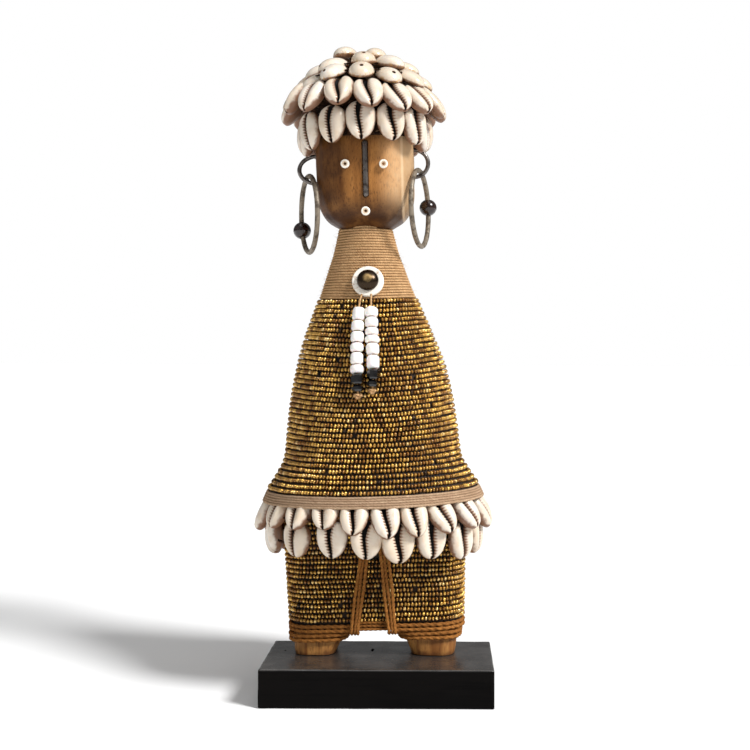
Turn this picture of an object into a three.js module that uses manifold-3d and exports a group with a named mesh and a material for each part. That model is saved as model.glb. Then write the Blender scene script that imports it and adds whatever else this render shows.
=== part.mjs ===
// Namji doll: a carved wooden figure with beads, twine and cowries, on a wooden plinth.
// Millimetres, +Z up, the face looks along -Y, the origin is the centre of the plinth's underside.
import * as THREE from 'three';
import { mergeVertices } from 'three/addons/utils/BufferGeometryUtils.js';
import Module from 'manifold-3d';

const wasm = await Module();
wasm.setup();

// Driving dimensions
const gap = 0.3;
const plinth = { width: 105.8, depth: 56, height: 17.4, worn: 0.8 };
const stance = { x: -1.85, y: 9, leanDeg: 1.57 };
const twine = { fine: 1.3, cuff: 2.1, strap: 1.6 };
const seedBead = 2.0;

// The carved neck and body, [height above the plinth, half-width, middle]
const bodyOutline = [
  [71.7, 51.8, 0.3], [77.5, 49.3, 0.3], [86.1, 43.6, 0.3], [96.5, 39.6, 0.4], [119.5, 36.8, 0.5],
  [134, 33.8, 0.5], [148, 29.3, -0.1], [165.3, 22.6, -0.4], [176, 18.5, -0.5], [189.3, 14.0, -0.6],
  [202, 10.9, -0.6],
];
const bodyDepth = 0.92;

const levels = {
  hem: 72.9, rebate: 4.2, beadsBottom: 78.3, beadsTop: 166.9, neckTop: 200.6,
  crotch: 12.2, cuffBottom: 7.3, cuffEven: 9.4, cuffTop: 15.8, trouserTop: 69,
};
const hips = { halfWidth: 39.7, flare: 0.036, middle: 0.45, halfDepth: 12.2 };

// Feet and lower legs, [height, middle, half-width, half-depth]
const leftLeg = [
  [-1.6, -28.6, 8.9, 11.2], [1.8, -28.4, 9.8, 12.0], [8, -26.9, 11.9, 12.3], [15.4, -23.2, 16.2, 12.2],
];
const rightLeg = [
  [-1.6, 26.9, 9.9, 11.2], [1.8, 26.9, 10.8, 12.0], [8, 25.8, 12.8, 12.3], [15.4, 22.5, 17.0, 12.2],
];

// Twine on the legs: inner ends of the cuffs above the arch, and straps from the fringe to the arch
const cuffEnds = { left: -10.3, right: 9.7 };
const straps = { width: 4.8, below: 1.8, top: 64, left: [-1.2, -8.9], right: [4.1, 8.2] };

// Head block, [height, half-width, half-depth]
const headOutline = [
  [199.6, 10.2, 9.4], [201.3, 13.0, 11.8], [204.7, 18.2, 16.0], [209.2, 21.3, 18.6],
  [214.6, 22.8, 19.7], [222, 23.1, 20], [246, 23.1, 20], [254, 21.8, 19], [258, 17, 15],
];
const headSquareness = 3.1;

// Fibre cap over the crown, [height, half-width, half-depth]
const capOutline = [
  [242, 24.8, 22.2], [246, 25.0, 22.6], [255, 26.0, 24.0], [262.5, 24.6, 22.6],
  [268.5, 19.0, 17.4], [273.4, 10.6, 9.8], [276.2, 4.5, 4.2],
];

const shell = { width: 13.4, length: 17.6, depth: 7.6 };

// Rings of shells: middle of the shells, how far their lower ends swing out, and how many
const hemRows = {
  upper: { height: 65.9, radius: 52.8, depthRatio: 0.92, swing: 20, count: 22, turn: -8, length: 14.8 },
  lower: { height: 56.0, radius: 47.2, depthRatio: 0.92, swing: -3, count: 20, turn: 1 },
};
const headTiers = [
  { height: 247.2, radius: 29.6, depthRatio: 0.93, squareness: 2.4, swing: 3, count: 13, turn: 0 },
  { height: 259.4, radius: 34.5, depthRatio: 0.93, swing: 40, count: 15, turn: 6 },
  { height: 272.0, radius: 25.9, depthRatio: 0.93, swing: 66, count: 12, turn: 0 },
  { height: 277.2, radius: 17.0, depthRatio: 0.93, swing: 76, count: 8, turn: 4 },
  { height: 282.4, radius: 8.2, depthRatio: 0.95, swing: 82, count: 4, turn: 40 },
];

const ear = { wire: 2.0, hoopWire: 2.4, hoopRadius: 18.05 };
const ears = {
  left: { side: -1, top: 236.3, bottom: 223.2, reach: 8.5, hoopX: -27.4, hoopZ: 208.7, turn: 18.5, bead: 8.6 },
  right: { side: 1, top: 238.3, bottom: 225.3, reach: 6.8, hoopX: 25.5, hoopZ: 210.3, turn: 12, bead: 8.4 },
};
const beadAngles = { left: -19, right: 8 };

const faceFront = 20;
const features = {
  eyeLeft: [-8.1, 228.9], eyeRight: [9.6, 228.5], mouth: [0.9, 207.0],
  ringOuter: 4.1, ringHole: 1.3, ringThick: 1.8,
  noseX: 1.1, noseTop: 238.6, noseBottom: 214.8, noseRod: 2.5,
};
const medal = { x: 1.2, height: 174.6, ring: 14.7, hole: 6, thick: 2, stud: 10, dome: 3.4, tiltDeg: 17 };

// Pendant strings, from the top down: white beads as [diameter, length], then black ones
const strings = {
  left: {
    x: [-2.6, -3.5, -3.7, -3.3],
    white: [[5.6, 5.9], [5.8, 4.6], [6.0, 4.9], [6.0, 3.9], [5.6, 5.3], [6.1, 3.7]],
    black: [[5.7, 4.7], [5.4, 2.9]],
  },
  right: {
    x: [2.8, 3.1, 3.6, 3.1],
    white: [[6.0, 4.5], [6.0, 4.4], [6.0, 3.3], [6.6, 3.2], [6.0, 5.0], [5.8, 6.0]],
    black: [[5.6, 4.6], [5.3, 2.9]],
  },
};
const string = { diameter: 1.1, top: 168.5, firstBead: 162.3, tail: 2.6, standOff: 3.6 };

const finish = {
  blackWood: new THREE.MeshStandardMaterial({ color: 0x17151a, roughness: 0.4, metalness: 0 }),
  brownWood: new THREE.MeshStandardMaterial({ color: 0x8a5a30, roughness: 0.55, metalness: 0 }),
  jute: new THREE.MeshStandardMaterial({ color: 0xb58a5c, roughness: 0.9, metalness: 0 }),
  goldBead: new THREE.MeshStandardMaterial({ color: 0x7a5c22, roughness: 0.3, metalness: 0.7 }),
  cowrie: new THREE.MeshStandardMaterial({ color: 0xe9dccb, roughness: 0.3, metalness: 0 }),
  fibre: new THREE.MeshStandardMaterial({ color: 0x241812, roughness: 0.95, metalness: 0 }),
  steel: new THREE.MeshStandardMaterial({ color: 0x3a3530, roughness: 0.45, metalness: 0.8 }),
  greyMetal: new THREE.MeshStandardMaterial({ color: 0x6d665c, roughness: 0.55, metalness: 0.6 }),
  darkWood: new THREE.MeshStandardMaterial({ color: 0x2e1a12, roughness: 0.4, metalness: 0 }),
  brass: new THREE.MeshStandardMaterial({ color: 0x6e5a30, roughness: 0.35, metalness: 0.9 }),
  bone: new THREE.MeshStandardMaterial({ color: 0xefe9df, roughness: 0.5, metalness: 0 }),
  blackGlass: new THREE.MeshStandardMaterial({ color: 0x0a0a0c, roughness: 0.15, metalness: 0 }),
};

// Solids and meshes

function volumeOf(vertices, triangles) {
  let six = 0;
  const p = [new THREE.Vector3(), new THREE.Vector3(), new THREE.Vector3()];
  for (let i = 0; i < triangles.length; i += 3) {
    p.forEach((v, k) => v.fromArray(vertices, triangles[i + k] * 3));
    six += p[0].dot(p[1].cross(p[2]));
  }
  return six / 6;
}

// Turns every face of a closed body outwards
function facingOut(geometry) {
  const triangles = geometry.index.array;
  if (volumeOf(geometry.attributes.position.array, triangles) < 0) {
    for (let i = 0; i < triangles.length; i += 3) {
      [triangles[i], triangles[i + 1]] = [triangles[i + 1], triangles[i]];
    }
  }
  return geometry;
}

function solidOf(geometry) {
  const bare = geometry.clone();
  bare.deleteAttribute('normal');
  bare.deleteAttribute('uv');
  const merged = facingOut(mergeVertices(bare, 1e-4));
  const vertProperties = Float32Array.from(merged.attributes.position.array);
  const triVerts = Uint32Array.from(merged.index.array);
  return new wasm.Manifold(new wasm.Mesh({ numProp: 3, vertProperties, triVerts }));
}

function geometryOf(solid) {
  const { vertProperties, triVerts, numProp } = solid.getMesh();
  const position = new Float32Array((vertProperties.length / numProp) * 3);
  for (let i = 0; i < position.length / 3; i++) {
    for (let k = 0; k < 3; k++) position[i * 3 + k] = vertProperties[i * numProp + k];
  }
  const geometry = new THREE.BufferGeometry();
  geometry.setAttribute('position', new THREE.BufferAttribute(position, 3));
  geometry.setIndex(Array.from(triVerts));
  geometry.computeVertexNormals();
  return geometry;
}

function joined(solids) {
  return solids.reduce((all, one) => all.add(one));
}

// What is left of a ring after cutting is its one large body
function mainBody(solid) {
  const bodies = solid.decompose();
  return bodies.sort((a, b) => b.volume() - a.volume())[0];
}

// A closed body through rings of points with the same count, with flat ends
function stack(rings) {
  const count = rings[0].length;
  const vertices = rings.flat();
  const index = [];
  for (let r = 0; r + 1 < rings.length; r++) {
    for (let i = 0; i < count; i++) {
      const a = r * count + i;
      const b = r * count + (i + 1) % count;
      index.push(a, b, b + count, a, b + count, a + count);
    }
  }
  [0, rings.length - 1].forEach((r) => {
    const middle = rings[r].reduce((sum, p) => sum.add(p), new THREE.Vector3()).divideScalar(count);
    const centre = vertices.push(middle) - 1;
    for (let i = 0; i < count; i++) {
      const a = r * count + i;
      const b = r * count + (i + 1) % count;
      index.push(...(r === 0 ? [centre, b, a] : [centre, a, b]));
    }
  });
  return facingOut(new THREE.BufferGeometry().setFromPoints(vertices).setIndex(index));
}

// A sleeve: rings up the outside and down the inside, closed on themselves
function sleeve(outer, inner) {
  const rings = [...outer, ...inner.slice().reverse()];
  const count = rings[0].length;
  const index = [];
  for (let r = 0; r < rings.length; r++) {
    const next = (r + 1) % rings.length;
    for (let i = 0; i < count; i++) {
      const j = (i + 1) % count;
      const [a, b, c, d] = [r * count + i, r * count + j, next * count + j, next * count + i];
      index.push(a, b, c, a, c, d);
    }
  }
  return facingOut(new THREE.BufferGeometry().setFromPoints(rings.flat()).setIndex(index));
}

// Outlines of the level sections

function roundedRing(z, halfWidth, halfDepth, squareness = 2, x = 0, count = 16) {
  const power = 2 / squareness;
  return Array.from({ length: count }, (_, i) => {
    const t = (i / count) * 2 * Math.PI;
    const reach = (v) => Math.sign(v) * Math.abs(v) ** power;
    return new THREE.Vector3(x + halfWidth * reach(Math.cos(t)), halfDepth * reach(Math.sin(t)), z);
  });
}

// Flat front and back with half-round ends, as the trousers block
function stadiumRing(z, grow = 0, perEnd = 5) {
  const radius = hips.halfDepth + grow;
  const straight = hips.halfWidth + hips.flare * (z - levels.crotch) - hips.halfDepth;
  const ring = [];
  [1, -1].forEach((side) => {
    for (let i = 0; i <= perEnd; i++) {
      const t = side * Math.PI * (i / perEnd - 0.5);
      const across = hips.middle + side * (straight + radius * Math.cos(t));
      ring.push(new THREE.Vector3(across, radius * Math.sin(t), z));
    }
  });
  return ring;
}

// Half-width and middle of the body at a height
function bodyAt(z) {
  const k = Math.max(1, bodyOutline.findIndex(([height]) => height >= z));
  const [low, high] = [bodyOutline[k - 1], bodyOutline[k]];
  const f = (z - low[0]) / (high[0] - low[0]);
  return [1, 2].map((column) => low[column] + (high[column] - low[column]) * f);
}

function bodyRing(z, grow = 0, count = 18) {
  const [halfWidth, middle] = bodyAt(z);
  return roundedRing(z, halfWidth + grow, bodyDepth * halfWidth + grow, 2, middle, count);
}

// A sleeve has its rings at the outline's own heights, so that it follows the body all the way
function bodySleeve(bottom, top, thickness) {
  const between = bodyOutline.map(([z]) => z).filter((z) => z > bottom && z < top);
  const heights = [bottom, ...between, top];
  return sleeve(
    heights.map((z) => bodyRing(z, gap + thickness)),
    heights.map((z) => bodyRing(z, gap)),
  );
}

// A wire or string along a curve
function wire(points, diameter, sides = 6, steps = 10) {
  const path = new THREE.CatmullRomCurve3(points);
  const section = new THREE.Shape(Array.from({ length: sides }, (_, i) => {
    const t = (i / sides) * 2 * Math.PI;
    return new THREE.Vector2((diameter / 2) * Math.cos(t), (diameter / 2) * Math.sin(t));
  }));
  return new THREE.ExtrudeGeometry(section, { steps, extrudePath: path, bevelEnabled: false });
}

// Carved figure

function legBlock(outline) {
  return solidOf(stack(outline.map(([z, x, w, d]) => roundedRing(z, w, d, 3.2, x, 12))));
}

// The plinth's top as the leaning figure sees it, raised by the gap, to trim the soles flat
function plinthTopCutter() {
  const slab = new THREE.BoxGeometry(120, 80, 20);
  slab.translate(0, 0, gap - 10);
  slab.rotateY(THREE.MathUtils.degToRad(stance.leanDeg));
  return solidOf(slab);
}

function headBlock(grow = 0) {
  return solidOf(stack(headOutline.map(([z, w, d]) => (
    roundedRing(z + (z > 250 ? grow : 0), w + grow, d + grow, headSquareness)))));
}

function earLoop({ side, top, bottom, reach }, thickness) {
  const inside = 20.6;
  const surface = 23.1;
  const middle = (top + bottom) / 2;
  const half = (top - bottom) / 2;
  const points = [new THREE.Vector3(side * inside, 0, top)];
  for (let i = 0; i <= 8; i++) {
    const t = Math.PI * (0.5 - i / 8);
    points.push(new THREE.Vector3(side * (surface + reach * Math.cos(t)), 0, middle + half * Math.sin(t)));
  }
  points.push(new THREE.Vector3(side * inside, 0, bottom));
  return wire(points, thickness, 6, 11);
}

function noseRod(thickness) {
  const rod = new THREE.CapsuleGeometry(thickness / 2, features.noseTop - features.noseBottom, 1, 8);
  rod.rotateX(Math.PI / 2);
  rod.translate(features.noseX, -faceFront, (features.noseTop + features.noseBottom) / 2);
  return rod;
}

function carvedFigure() {
  const tucked = levels.beadsBottom - 1;
  const body = stack([
    bodyRing(levels.hem - 0.5, -levels.rebate - 2), bodyRing(tucked, -levels.rebate),
    bodyRing(tucked + 0.3), ...bodyOutline.filter(([z]) => z > levels.beadsBottom).map(([z]) => bodyRing(z)),
  ]);
  const block = stack([stadiumRing(levels.crotch), stadiumRing(levels.trouserTop + 6)]);
  const whole = joined([solidOf(body), solidOf(block), headBlock(), legBlock(leftLeg), legBlock(rightLeg)]);
  return geometryOf(whole
    .subtract(plinthTopCutter())
    .subtract(solidOf(noseRod(features.noseRod + 2 * gap)))
    .subtract(solidOf(earLoop(ears.left, ear.wire + 2 * gap)))
    .subtract(solidOf(earLoop(ears.right, ear.wire + 2 * gap))));
}

// Windings of twine and beads

function trouserBeads() {
  const heights = [levels.cuffTop + gap, levels.trouserTop - gap];
  return sleeve(
    heights.map((z) => stadiumRing(z, gap + seedBead)),
    heights.map((z) => stadiumRing(z, gap)),
  );
}

// A leg's section at any height, from the heights that its outline names
function legRing(outline, z, grow) {
  const top = outline.findIndex(([height]) => height >= z);
  const k = top < 1 ? outline.length - 1 : top;
  const f = Math.min(1, (z - outline[k - 1][0]) / (outline[k][0] - outline[k - 1][0]));
  const [, x, w, d] = outline[k].map((value, i) => outline[k - 1][i] * (1 - f) + value * f);
  return roundedRing(z, w + grow, d + grow, 3.2, x, 12);
}

// The outside of a cuff is as wide at its lower edge as a strand higher up
function cuff(outline) {
  const heights = [levels.cuffBottom, levels.cuffEven, levels.crotch, levels.cuffTop];
  const outside = (z) => legRing(outline, Math.max(z, levels.cuffEven), gap + twine.cuff);
  const around = solidOf(sleeve(
    heights.map((z) => outside(z).map((p) => p.setZ(z))),
    heights.map((z) => legRing(outline, z, gap)),
  ));
  const block = stack([stadiumRing(levels.crotch - gap, gap), stadiumRing(levels.cuffTop + 4, gap)]);
  const high = levels.cuffTop + 2 * gap - levels.crotch;
  const between = new THREE.BoxGeometry(cuffEnds.right - cuffEnds.left, 4 * hips.halfDepth, high);
  between.translate((cuffEnds.left + cuffEnds.right) / 2, 0, levels.crotch - gap + high / 2);
  return geometryOf(mainBody(around.subtract(solidOf(block)).subtract(solidOf(between))));
}

// Strands laid side by side down the front of the trousers, from under the fringe to the arch
function strap([topX, bottomX]) {
  const front = -(hips.halfDepth + gap + seedBead + gap);
  const [half, soft] = [straps.width / 2, 0.5];
  const ring = (z, x) => [
    new THREE.Vector3(x - half, front, z), new THREE.Vector3(x + half, front, z),
    new THREE.Vector3(x + half - soft, front - twine.strap, z),
    new THREE.Vector3(x - half + soft, front - twine.strap, z),
  ];
  return stack([ring(levels.crotch - straps.below, bottomX), ring(straps.top, topX)]);
}

function crotchBand() {
  const width = cuffEnds.right - cuffEnds.left - 2 * gap;
  const high = levels.cuffTop - levels.crotch - gap;
  const band = new THREE.BoxGeometry(width, twine.strap, high);
  const front = hips.halfDepth + gap + twine.strap / 2;
  band.translate((cuffEnds.left + cuffEnds.right) / 2, -front, levels.crotch + high / 2);
  return band;
}

// Shells

function cowrie(grow = 0, fullLength = shell.length, sides = 6) {
  const width = shell.width / 2 + grow;
  const length = fullLength / 2 + grow;
  const depth = shell.depth / 2 + grow;
  return stack([-1, -0.5, 0.48, 1].map((t) => {
    const round = Math.abs(t) === 1 ? 0 : Math.sqrt(1 - t * t) * 1.15;
    const egg = round * (1 + 0.1 * t);
    return Array.from({ length: sides }, (_, i) => {
      const a = ((i + 0.5) / sides) * 2 * Math.PI;
      const across = (width * egg * Math.cos(a)) / Math.cos(Math.PI / sides);
      return new THREE.Vector3(across, length * t, depth * round * Math.sin(a));
    });
  }));
}

// Where a shell of a ring sits: its width runs round the ring and its face looks outwards
function shellPlace(row, degrees) {
  const t = THREE.MathUtils.degToRad(degrees);
  const s = THREE.MathUtils.degToRad(row.swing);
  const out = new THREE.Vector3(Math.sin(t) * row.depthRatio, -Math.cos(t), 0).normalize();
  const across = new THREE.Vector3(-out.y, out.x, 0);
  const up = out.clone().multiplyScalar(-Math.sin(s)).setZ(Math.cos(s));
  const face = new THREE.Vector3().crossVectors(across, up);
  return new THREE.Matrix4().makeBasis(across, up, face).setPosition(ringPoint(row, degrees));
}

// A point of the ring's line, a little squarer than an ellipse where the row says so
function ringPoint({ radius, depthRatio, height, squareness = 2 }, degrees) {
  const t = THREE.MathUtils.degToRad(degrees);
  const reach = (v) => Math.sign(v) * Math.abs(v) ** (2 / squareness);
  return new THREE.Vector3(radius * reach(Math.sin(t)), -radius * depthRatio * reach(Math.cos(t)), height);
}

// The thread that a ring of shells is sewn on, with a bend inside each shell
function thread(row) {
  const half = 0.8;
  const corners = [[-half, -half], [half, -half], [0, half]];
  const rings = corners.map(([out, up]) => {
    const moved = { ...row, radius: row.radius + out, height: row.height + up };
    return Array.from({ length: row.count }, (_, i) => ringPoint(moved, row.turn + (i * 360) / row.count));
  });
  return sleeve([rings[1], rings[2]], [rings[0]]);
}

function shellRing(row, grow = 0) {
  const shells = Array.from({ length: row.count }, (_, i) => {
    const place = shellPlace(row, row.turn + (i * 360) / row.count);
    return solidOf(cowrie(grow, row.length).applyMatrix4(place));
  });
  return joined([solidOf(thread(row)), ...shells]);
}

function fibreCap(grow = 0) {
  return solidOf(stack(capOutline.map(([z, w, d], i) => (
    roundedRing(z + (i === 0 ? -grow : grow), w + grow, d + grow, i < 3 ? 2.5 : 2.1, 0, 16)))));
}

// Ear hoops and their beads

function hoop({ hoopX, hoopZ, turn, side }, thickness) {
  const ring = new THREE.TorusGeometry(ear.hoopRadius, thickness / 2, 6, 18);
  ring.rotateY(Math.PI / 2);
  ring.rotateZ(THREE.MathUtils.degToRad(-side * turn));
  ring.translate(hoopX, 0, hoopZ);
  return ring;
}

// A bead is drilled along the hoop it hangs on; angle is measured from the hoop's rear
function hoopBead(earRing, angleDeg) {
  const a = THREE.MathUtils.degToRad(angleDeg);
  const turn = THREE.MathUtils.degToRad(-earRing.side * earRing.turn);
  const bead = new THREE.SphereGeometry(earRing.bead / 2, 8, 6);
  const back = ear.hoopRadius * Math.cos(a);
  bead.translate(
    earRing.hoopX - back * Math.sin(turn), back * Math.cos(turn),
    earRing.hoopZ + ear.hoopRadius * Math.sin(a));
  return geometryOf(solidOf(bead).subtract(solidOf(hoop(earRing, ear.hoopWire + 2 * gap))));
}

// Face

function beadRing(outer, hole, length, sides = 8) {
  const [r, h, half] = [outer / 2, hole / 2, length / 2];
  const profile = [[h, -half], [r * 0.86, -half], [r, 0], [r * 0.86, half], [h, half]];
  const points = [...profile, profile[0]].map(([x, y]) => new THREE.Vector2(x, y));
  return new THREE.LatheGeometry(points, sides);
}

function faceRing([x, z]) {
  const ring = beadRing(features.ringOuter, features.ringHole, features.ringThick);
  ring.translate(x, -(faceFront + gap + features.ringThick / 2), z);
  return ring;
}

// Medallion, tilted to lie on the cone of the neck

function onNeck(geometry, standOff) {
  const surface = bodyDepth * bodyAt(medal.height)[0] + gap + twine.fine + gap;
  geometry.rotateX(-THREE.MathUtils.degToRad(medal.tiltDeg));
  geometry.translate(medal.x, -surface - standOff, medal.height);
  return geometry;
}

function medallionRing() {
  const ring = beadRing(medal.ring, medal.hole, medal.thick, 16);
  return onNeck(ring, medal.thick / 2 + 0.5);
}

function medallionStud() {
  const [r, high] = [medal.stud / 2, medal.dome];
  const shank = medal.hole / 2 - gap;
  const from = medal.thick / 2 + gap;
  const foot = 0.2 - medal.thick / 2;
  const profile = [[0, foot], [shank, foot], [shank, from], [r, from], [r, from + 0.5]];
  for (let i = 1; i <= 3; i++) {
    const t = (Math.PI / 2) * (i / 3);
    profile.push([i === 3 ? 0 : r * Math.cos(t), from + 0.5 + high * Math.sin(t)]);
  }
  const stud = new THREE.LatheGeometry(profile.map(([x, y]) => new THREE.Vector2(x, y)), 12);
  stud.rotateX(Math.PI);
  return onNeck(stud, medal.thick / 2 + 0.5);
}

// Pendant strings

// A point on a string: it lies in front of the beaded chest, at the height z
function stringPoint(x, z) {
  const [halfWidth, middle] = bodyAt(z);
  const w = halfWidth + gap + seedBead;
  const d = bodyDepth * halfWidth + gap + seedBead;
  return new THREE.Vector3(x, -d * Math.sqrt(1 - ((x - middle) / w) ** 2) - string.standOff, z);
}

function stringRoute({ x, white, black }) {
  const beads = [...white, ...black].reduce((sum, [, length]) => sum + length + gap, 0);
  const bottom = string.firstBead - beads - string.tail;
  const points = x.map((value, i) => {
    const f = i / (x.length - 1);
    return stringPoint(value, string.firstBead + 1 + (bottom - string.firstBead - 1) * f);
  });
  const start = stringPoint(x[0] * 0.8 + 0.5, string.top);
  start.y += 0.5;
  return new THREE.CatmullRomCurve3([start, ...points]);
}

function stringBeads(side) {
  const route = stringRoute(side);
  const at = (z) => {
    let [low, high] = [0, 1];
    for (let i = 0; i < 30; i++) {
      const half = (low + high) / 2;
      if (route.getPoint(half).z > z) low = half;
      else high = half;
    }
    return low;
  };
  let z = string.firstBead;
  return [...side.white, ...side.black].map(([diameter, length]) => {
    const u = at(z - length / 2);
    const bead = beadRing(diameter, string.diameter + 0.9, length, 6);
    const turn = new THREE.Quaternion().setFromUnitVectors(
      new THREE.Vector3(0, 1, 0), route.getTangent(u).normalize());
    bead.applyQuaternion(turn);
    bead.translate(...route.getPoint(u).toArray());
    z -= length + gap;
    return bead;
  });
}

// Assembly

const doll = new THREE.Group();
const figure = new THREE.Group();
figure.position.set(stance.x, stance.y, plinth.height);
figure.rotation.y = -THREE.MathUtils.degToRad(stance.leanDeg);
doll.add(figure);

function addTo(group, name, geometry, material) {
  const mesh = new THREE.Mesh(geometry, material);
  mesh.name = name;
  group.add(mesh);
  return mesh;
}

function plinthBlock() {
  const { width, depth, height, worn } = plinth;
  const rings = [[0, worn], [worn, 0], [height - worn, 0], [height, worn]];
  const corner = (z, inset) => {
    const [w, d] = [width / 2 - inset, depth / 2 - inset];
    return [
      [w - worn, -d], [w, worn - d], [w, d - worn], [w - worn, d],
      [worn - w, d], [-w, d - worn], [-w, worn - d], [worn - w, -d],
    ].map(([x, y]) => new THREE.Vector3(x, y, z));
  };
  return stack(rings.map(([z, inset]) => corner(z, inset)));
}

addTo(doll, 'plinth', plinthBlock(), finish.blackWood);
addTo(figure, 'carved_figure', carvedFigure(), finish.brownWood);
addTo(figure, 'neck_twine', bodySleeve(levels.beadsTop + gap, levels.neckTop - 1, twine.fine), finish.jute);
addTo(figure, 'torso_beads', bodySleeve(levels.beadsBottom, levels.beadsTop, seedBead), finish.goldBead);
addTo(figure, 'hem_band', bodySleeve(levels.hem, levels.beadsBottom - gap, twine.fine), finish.jute);
addTo(figure, 'trouser_beads', trouserBeads(), finish.goldBead);
addTo(figure, 'cuff_left', cuff(leftLeg), finish.jute);
addTo(figure, 'cuff_right', cuff(rightLeg), finish.jute);
addTo(figure, 'crotch_band', crotchBand(), finish.jute);
addTo(figure, 'strap_left', strap(straps.left), finish.jute);
addTo(figure, 'strap_right', strap(straps.right), finish.jute);

// Hem rows: the tops of the upper row are tucked behind the hem band, the lower hangs inside it
addTo(figure, 'hem_cowries_upper', geometryOf(shellRing(hemRows.upper)), finish.cowrie);
addTo(figure, 'hem_cowries_lower', geometryOf(shellRing(hemRows.lower)), finish.cowrie);

// Head tiers: the upper ones are laid over the one below
const cap = fibreCap().subtract(headBlock(gap + 0.1));
addTo(figure, 'wig_cap', geometryOf(mainBody(cap)), finish.fibre);
const lowestCut = 3;
headTiers.forEach((tier, i) => {
  const ring = i < lowestCut ? shellRing(tier) : shellRing(tier).subtract(shellRing(headTiers[i - 1], gap));
  addTo(figure, `head_cowries_tier_${i + 1}`, geometryOf(mainBody(ring)), finish.cowrie);
});

addTo(figure, 'nose_rod', noseRod(features.noseRod), finish.steel);
addTo(figure, 'eye_left', faceRing(features.eyeLeft), finish.bone);
addTo(figure, 'eye_right', faceRing(features.eyeRight), finish.bone);
addTo(figure, 'mouth', faceRing(features.mouth), finish.bone);
Object.entries(ears).forEach(([side, sizes]) => {
  addTo(figure, `ear_loop_${side}`, earLoop(sizes, ear.wire), finish.steel);
  addTo(figure, `hoop_${side}`, hoop(sizes, ear.hoopWire), finish.greyMetal);
  addTo(figure, `hoop_bead_${side}`, hoopBead(sizes, beadAngles[side]), finish.darkWood);
});
addTo(figure, 'medallion_ring', medallionRing(), finish.bone);
addTo(figure, 'medallion_stud', medallionStud(), finish.brass);
Object.entries(strings).forEach(([side, facts]) => {
  const route = stringRoute(facts).getPoints(9);
  addTo(figure, `pendant_cord_${side}`, wire(route, string.diameter, 5, 10), finish.jute);
  stringBeads(facts).forEach((bead, i) => {
    const isWhite = i < facts.white.length;
    const name = isWhite ? `white_${side}_${i + 1}` : `black_${side}_${i + 1 - facts.white.length}`;
    addTo(figure, `pendant_${name}`, bead, isWhite ? finish.bone : finish.blackGlass);
  });
});

export default doll;
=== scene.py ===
import math
import random

import bmesh
import bpy
from mathutils import Matrix, Vector, noise


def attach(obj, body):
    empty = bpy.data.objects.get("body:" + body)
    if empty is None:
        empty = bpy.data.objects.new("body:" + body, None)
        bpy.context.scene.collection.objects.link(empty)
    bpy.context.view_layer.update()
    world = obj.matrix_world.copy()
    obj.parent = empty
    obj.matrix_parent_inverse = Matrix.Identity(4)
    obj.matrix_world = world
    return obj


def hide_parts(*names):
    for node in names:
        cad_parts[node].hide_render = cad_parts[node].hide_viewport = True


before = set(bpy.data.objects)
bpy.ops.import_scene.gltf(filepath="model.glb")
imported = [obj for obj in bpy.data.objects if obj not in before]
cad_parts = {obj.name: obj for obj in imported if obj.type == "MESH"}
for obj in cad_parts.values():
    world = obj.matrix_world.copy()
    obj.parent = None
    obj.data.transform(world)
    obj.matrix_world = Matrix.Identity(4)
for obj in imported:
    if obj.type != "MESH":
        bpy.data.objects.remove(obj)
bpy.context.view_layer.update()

mm = 0.001

# The doll stands a little off the middle of its plinth and leans; its own shapes are written in
# millimetres above the plinth top and placed by dollFrame
stance = {"x": -1.85, "y": 9.0, "plinthHeight": 17.4, "leanDeg": 1.57}
plinthFrame = Matrix.Scale(mm, 4)
dollFrame = (plinthFrame
             @ Matrix.Translation((stance["x"], stance["y"], stance["plinthHeight"]))
             @ Matrix.Rotation(-math.radians(stance["leanDeg"]), 4, "Y"))

body = {
    # [height, half-width, middle]
    "outline": [[71.7, 51.8, 0.3], [77.5, 49.3, 0.3], [82.2, 46.0, 0.3], [86.1, 43.6, 0.3], [91.0, 40.8, 0.3],
                [96.5, 39.6, 0.4], [105.0, 38.7, 0.5], [119.5, 36.8, 0.5], [134.0, 33.8, 0.5], [148.0, 29.3, -0.1],
                [165.3, 22.6, -0.4], [171.0, 20.3, -0.5], [182.5, 16.3, -0.6], [189.3, 14.0, -0.6],
                [202.0, 10.9, -0.6]],
    "depth": 0.92, "hem": 72.9, "rebate": 4.2, "tuck": 77.3, "smoothFrom": 78.2, "gap": 0.3, "bead": 2.0,
}
hips = {"halfWidth": 39.7, "flare": 0.036, "middle": 0.45, "halfDepth": 12.2, "bottom": 12.2, "top": 75.0}


# Reading the measured outlines

def readAlong(table, height):
    # The other columns at a height, on a smooth line through the table's rows
    heights = [row[0] for row in table]
    height = min(max(height, heights[0]), heights[-1])
    k = max(i for i in range(len(table) - 1) if heights[i] <= height)
    step = heights[k + 1] - heights[k]
    f = (height - heights[k]) / step

    def slope(i, column):
        a, b = max(i - 1, 0), min(i + 1, len(table) - 1)
        return (table[b][column] - table[a][column]) / (heights[b] - heights[a])

    values = []
    for column in range(1, len(table[0])):
        p0, p1 = table[k][column], table[k + 1][column]
        m0, m1 = slope(k, column) * step, slope(k + 1, column) * step
        values.append((2 * f ** 3 - 3 * f ** 2 + 1) * p0 + (f ** 3 - 2 * f ** 2 + f) * m0
                      + (3 * f ** 2 - 2 * f ** 3) * p1 + (f ** 3 - f ** 2) * m1)
    return values


def steps(low, high, count):
    return [low + (high - low) * i / count for i in range(count + 1)]


def span(table):
    # The first and last height of a table
    return table[0][0], table[-1][0]


def squared(value, squareness):
    return math.copysign(abs(value) ** (2 / squareness), value)


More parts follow.
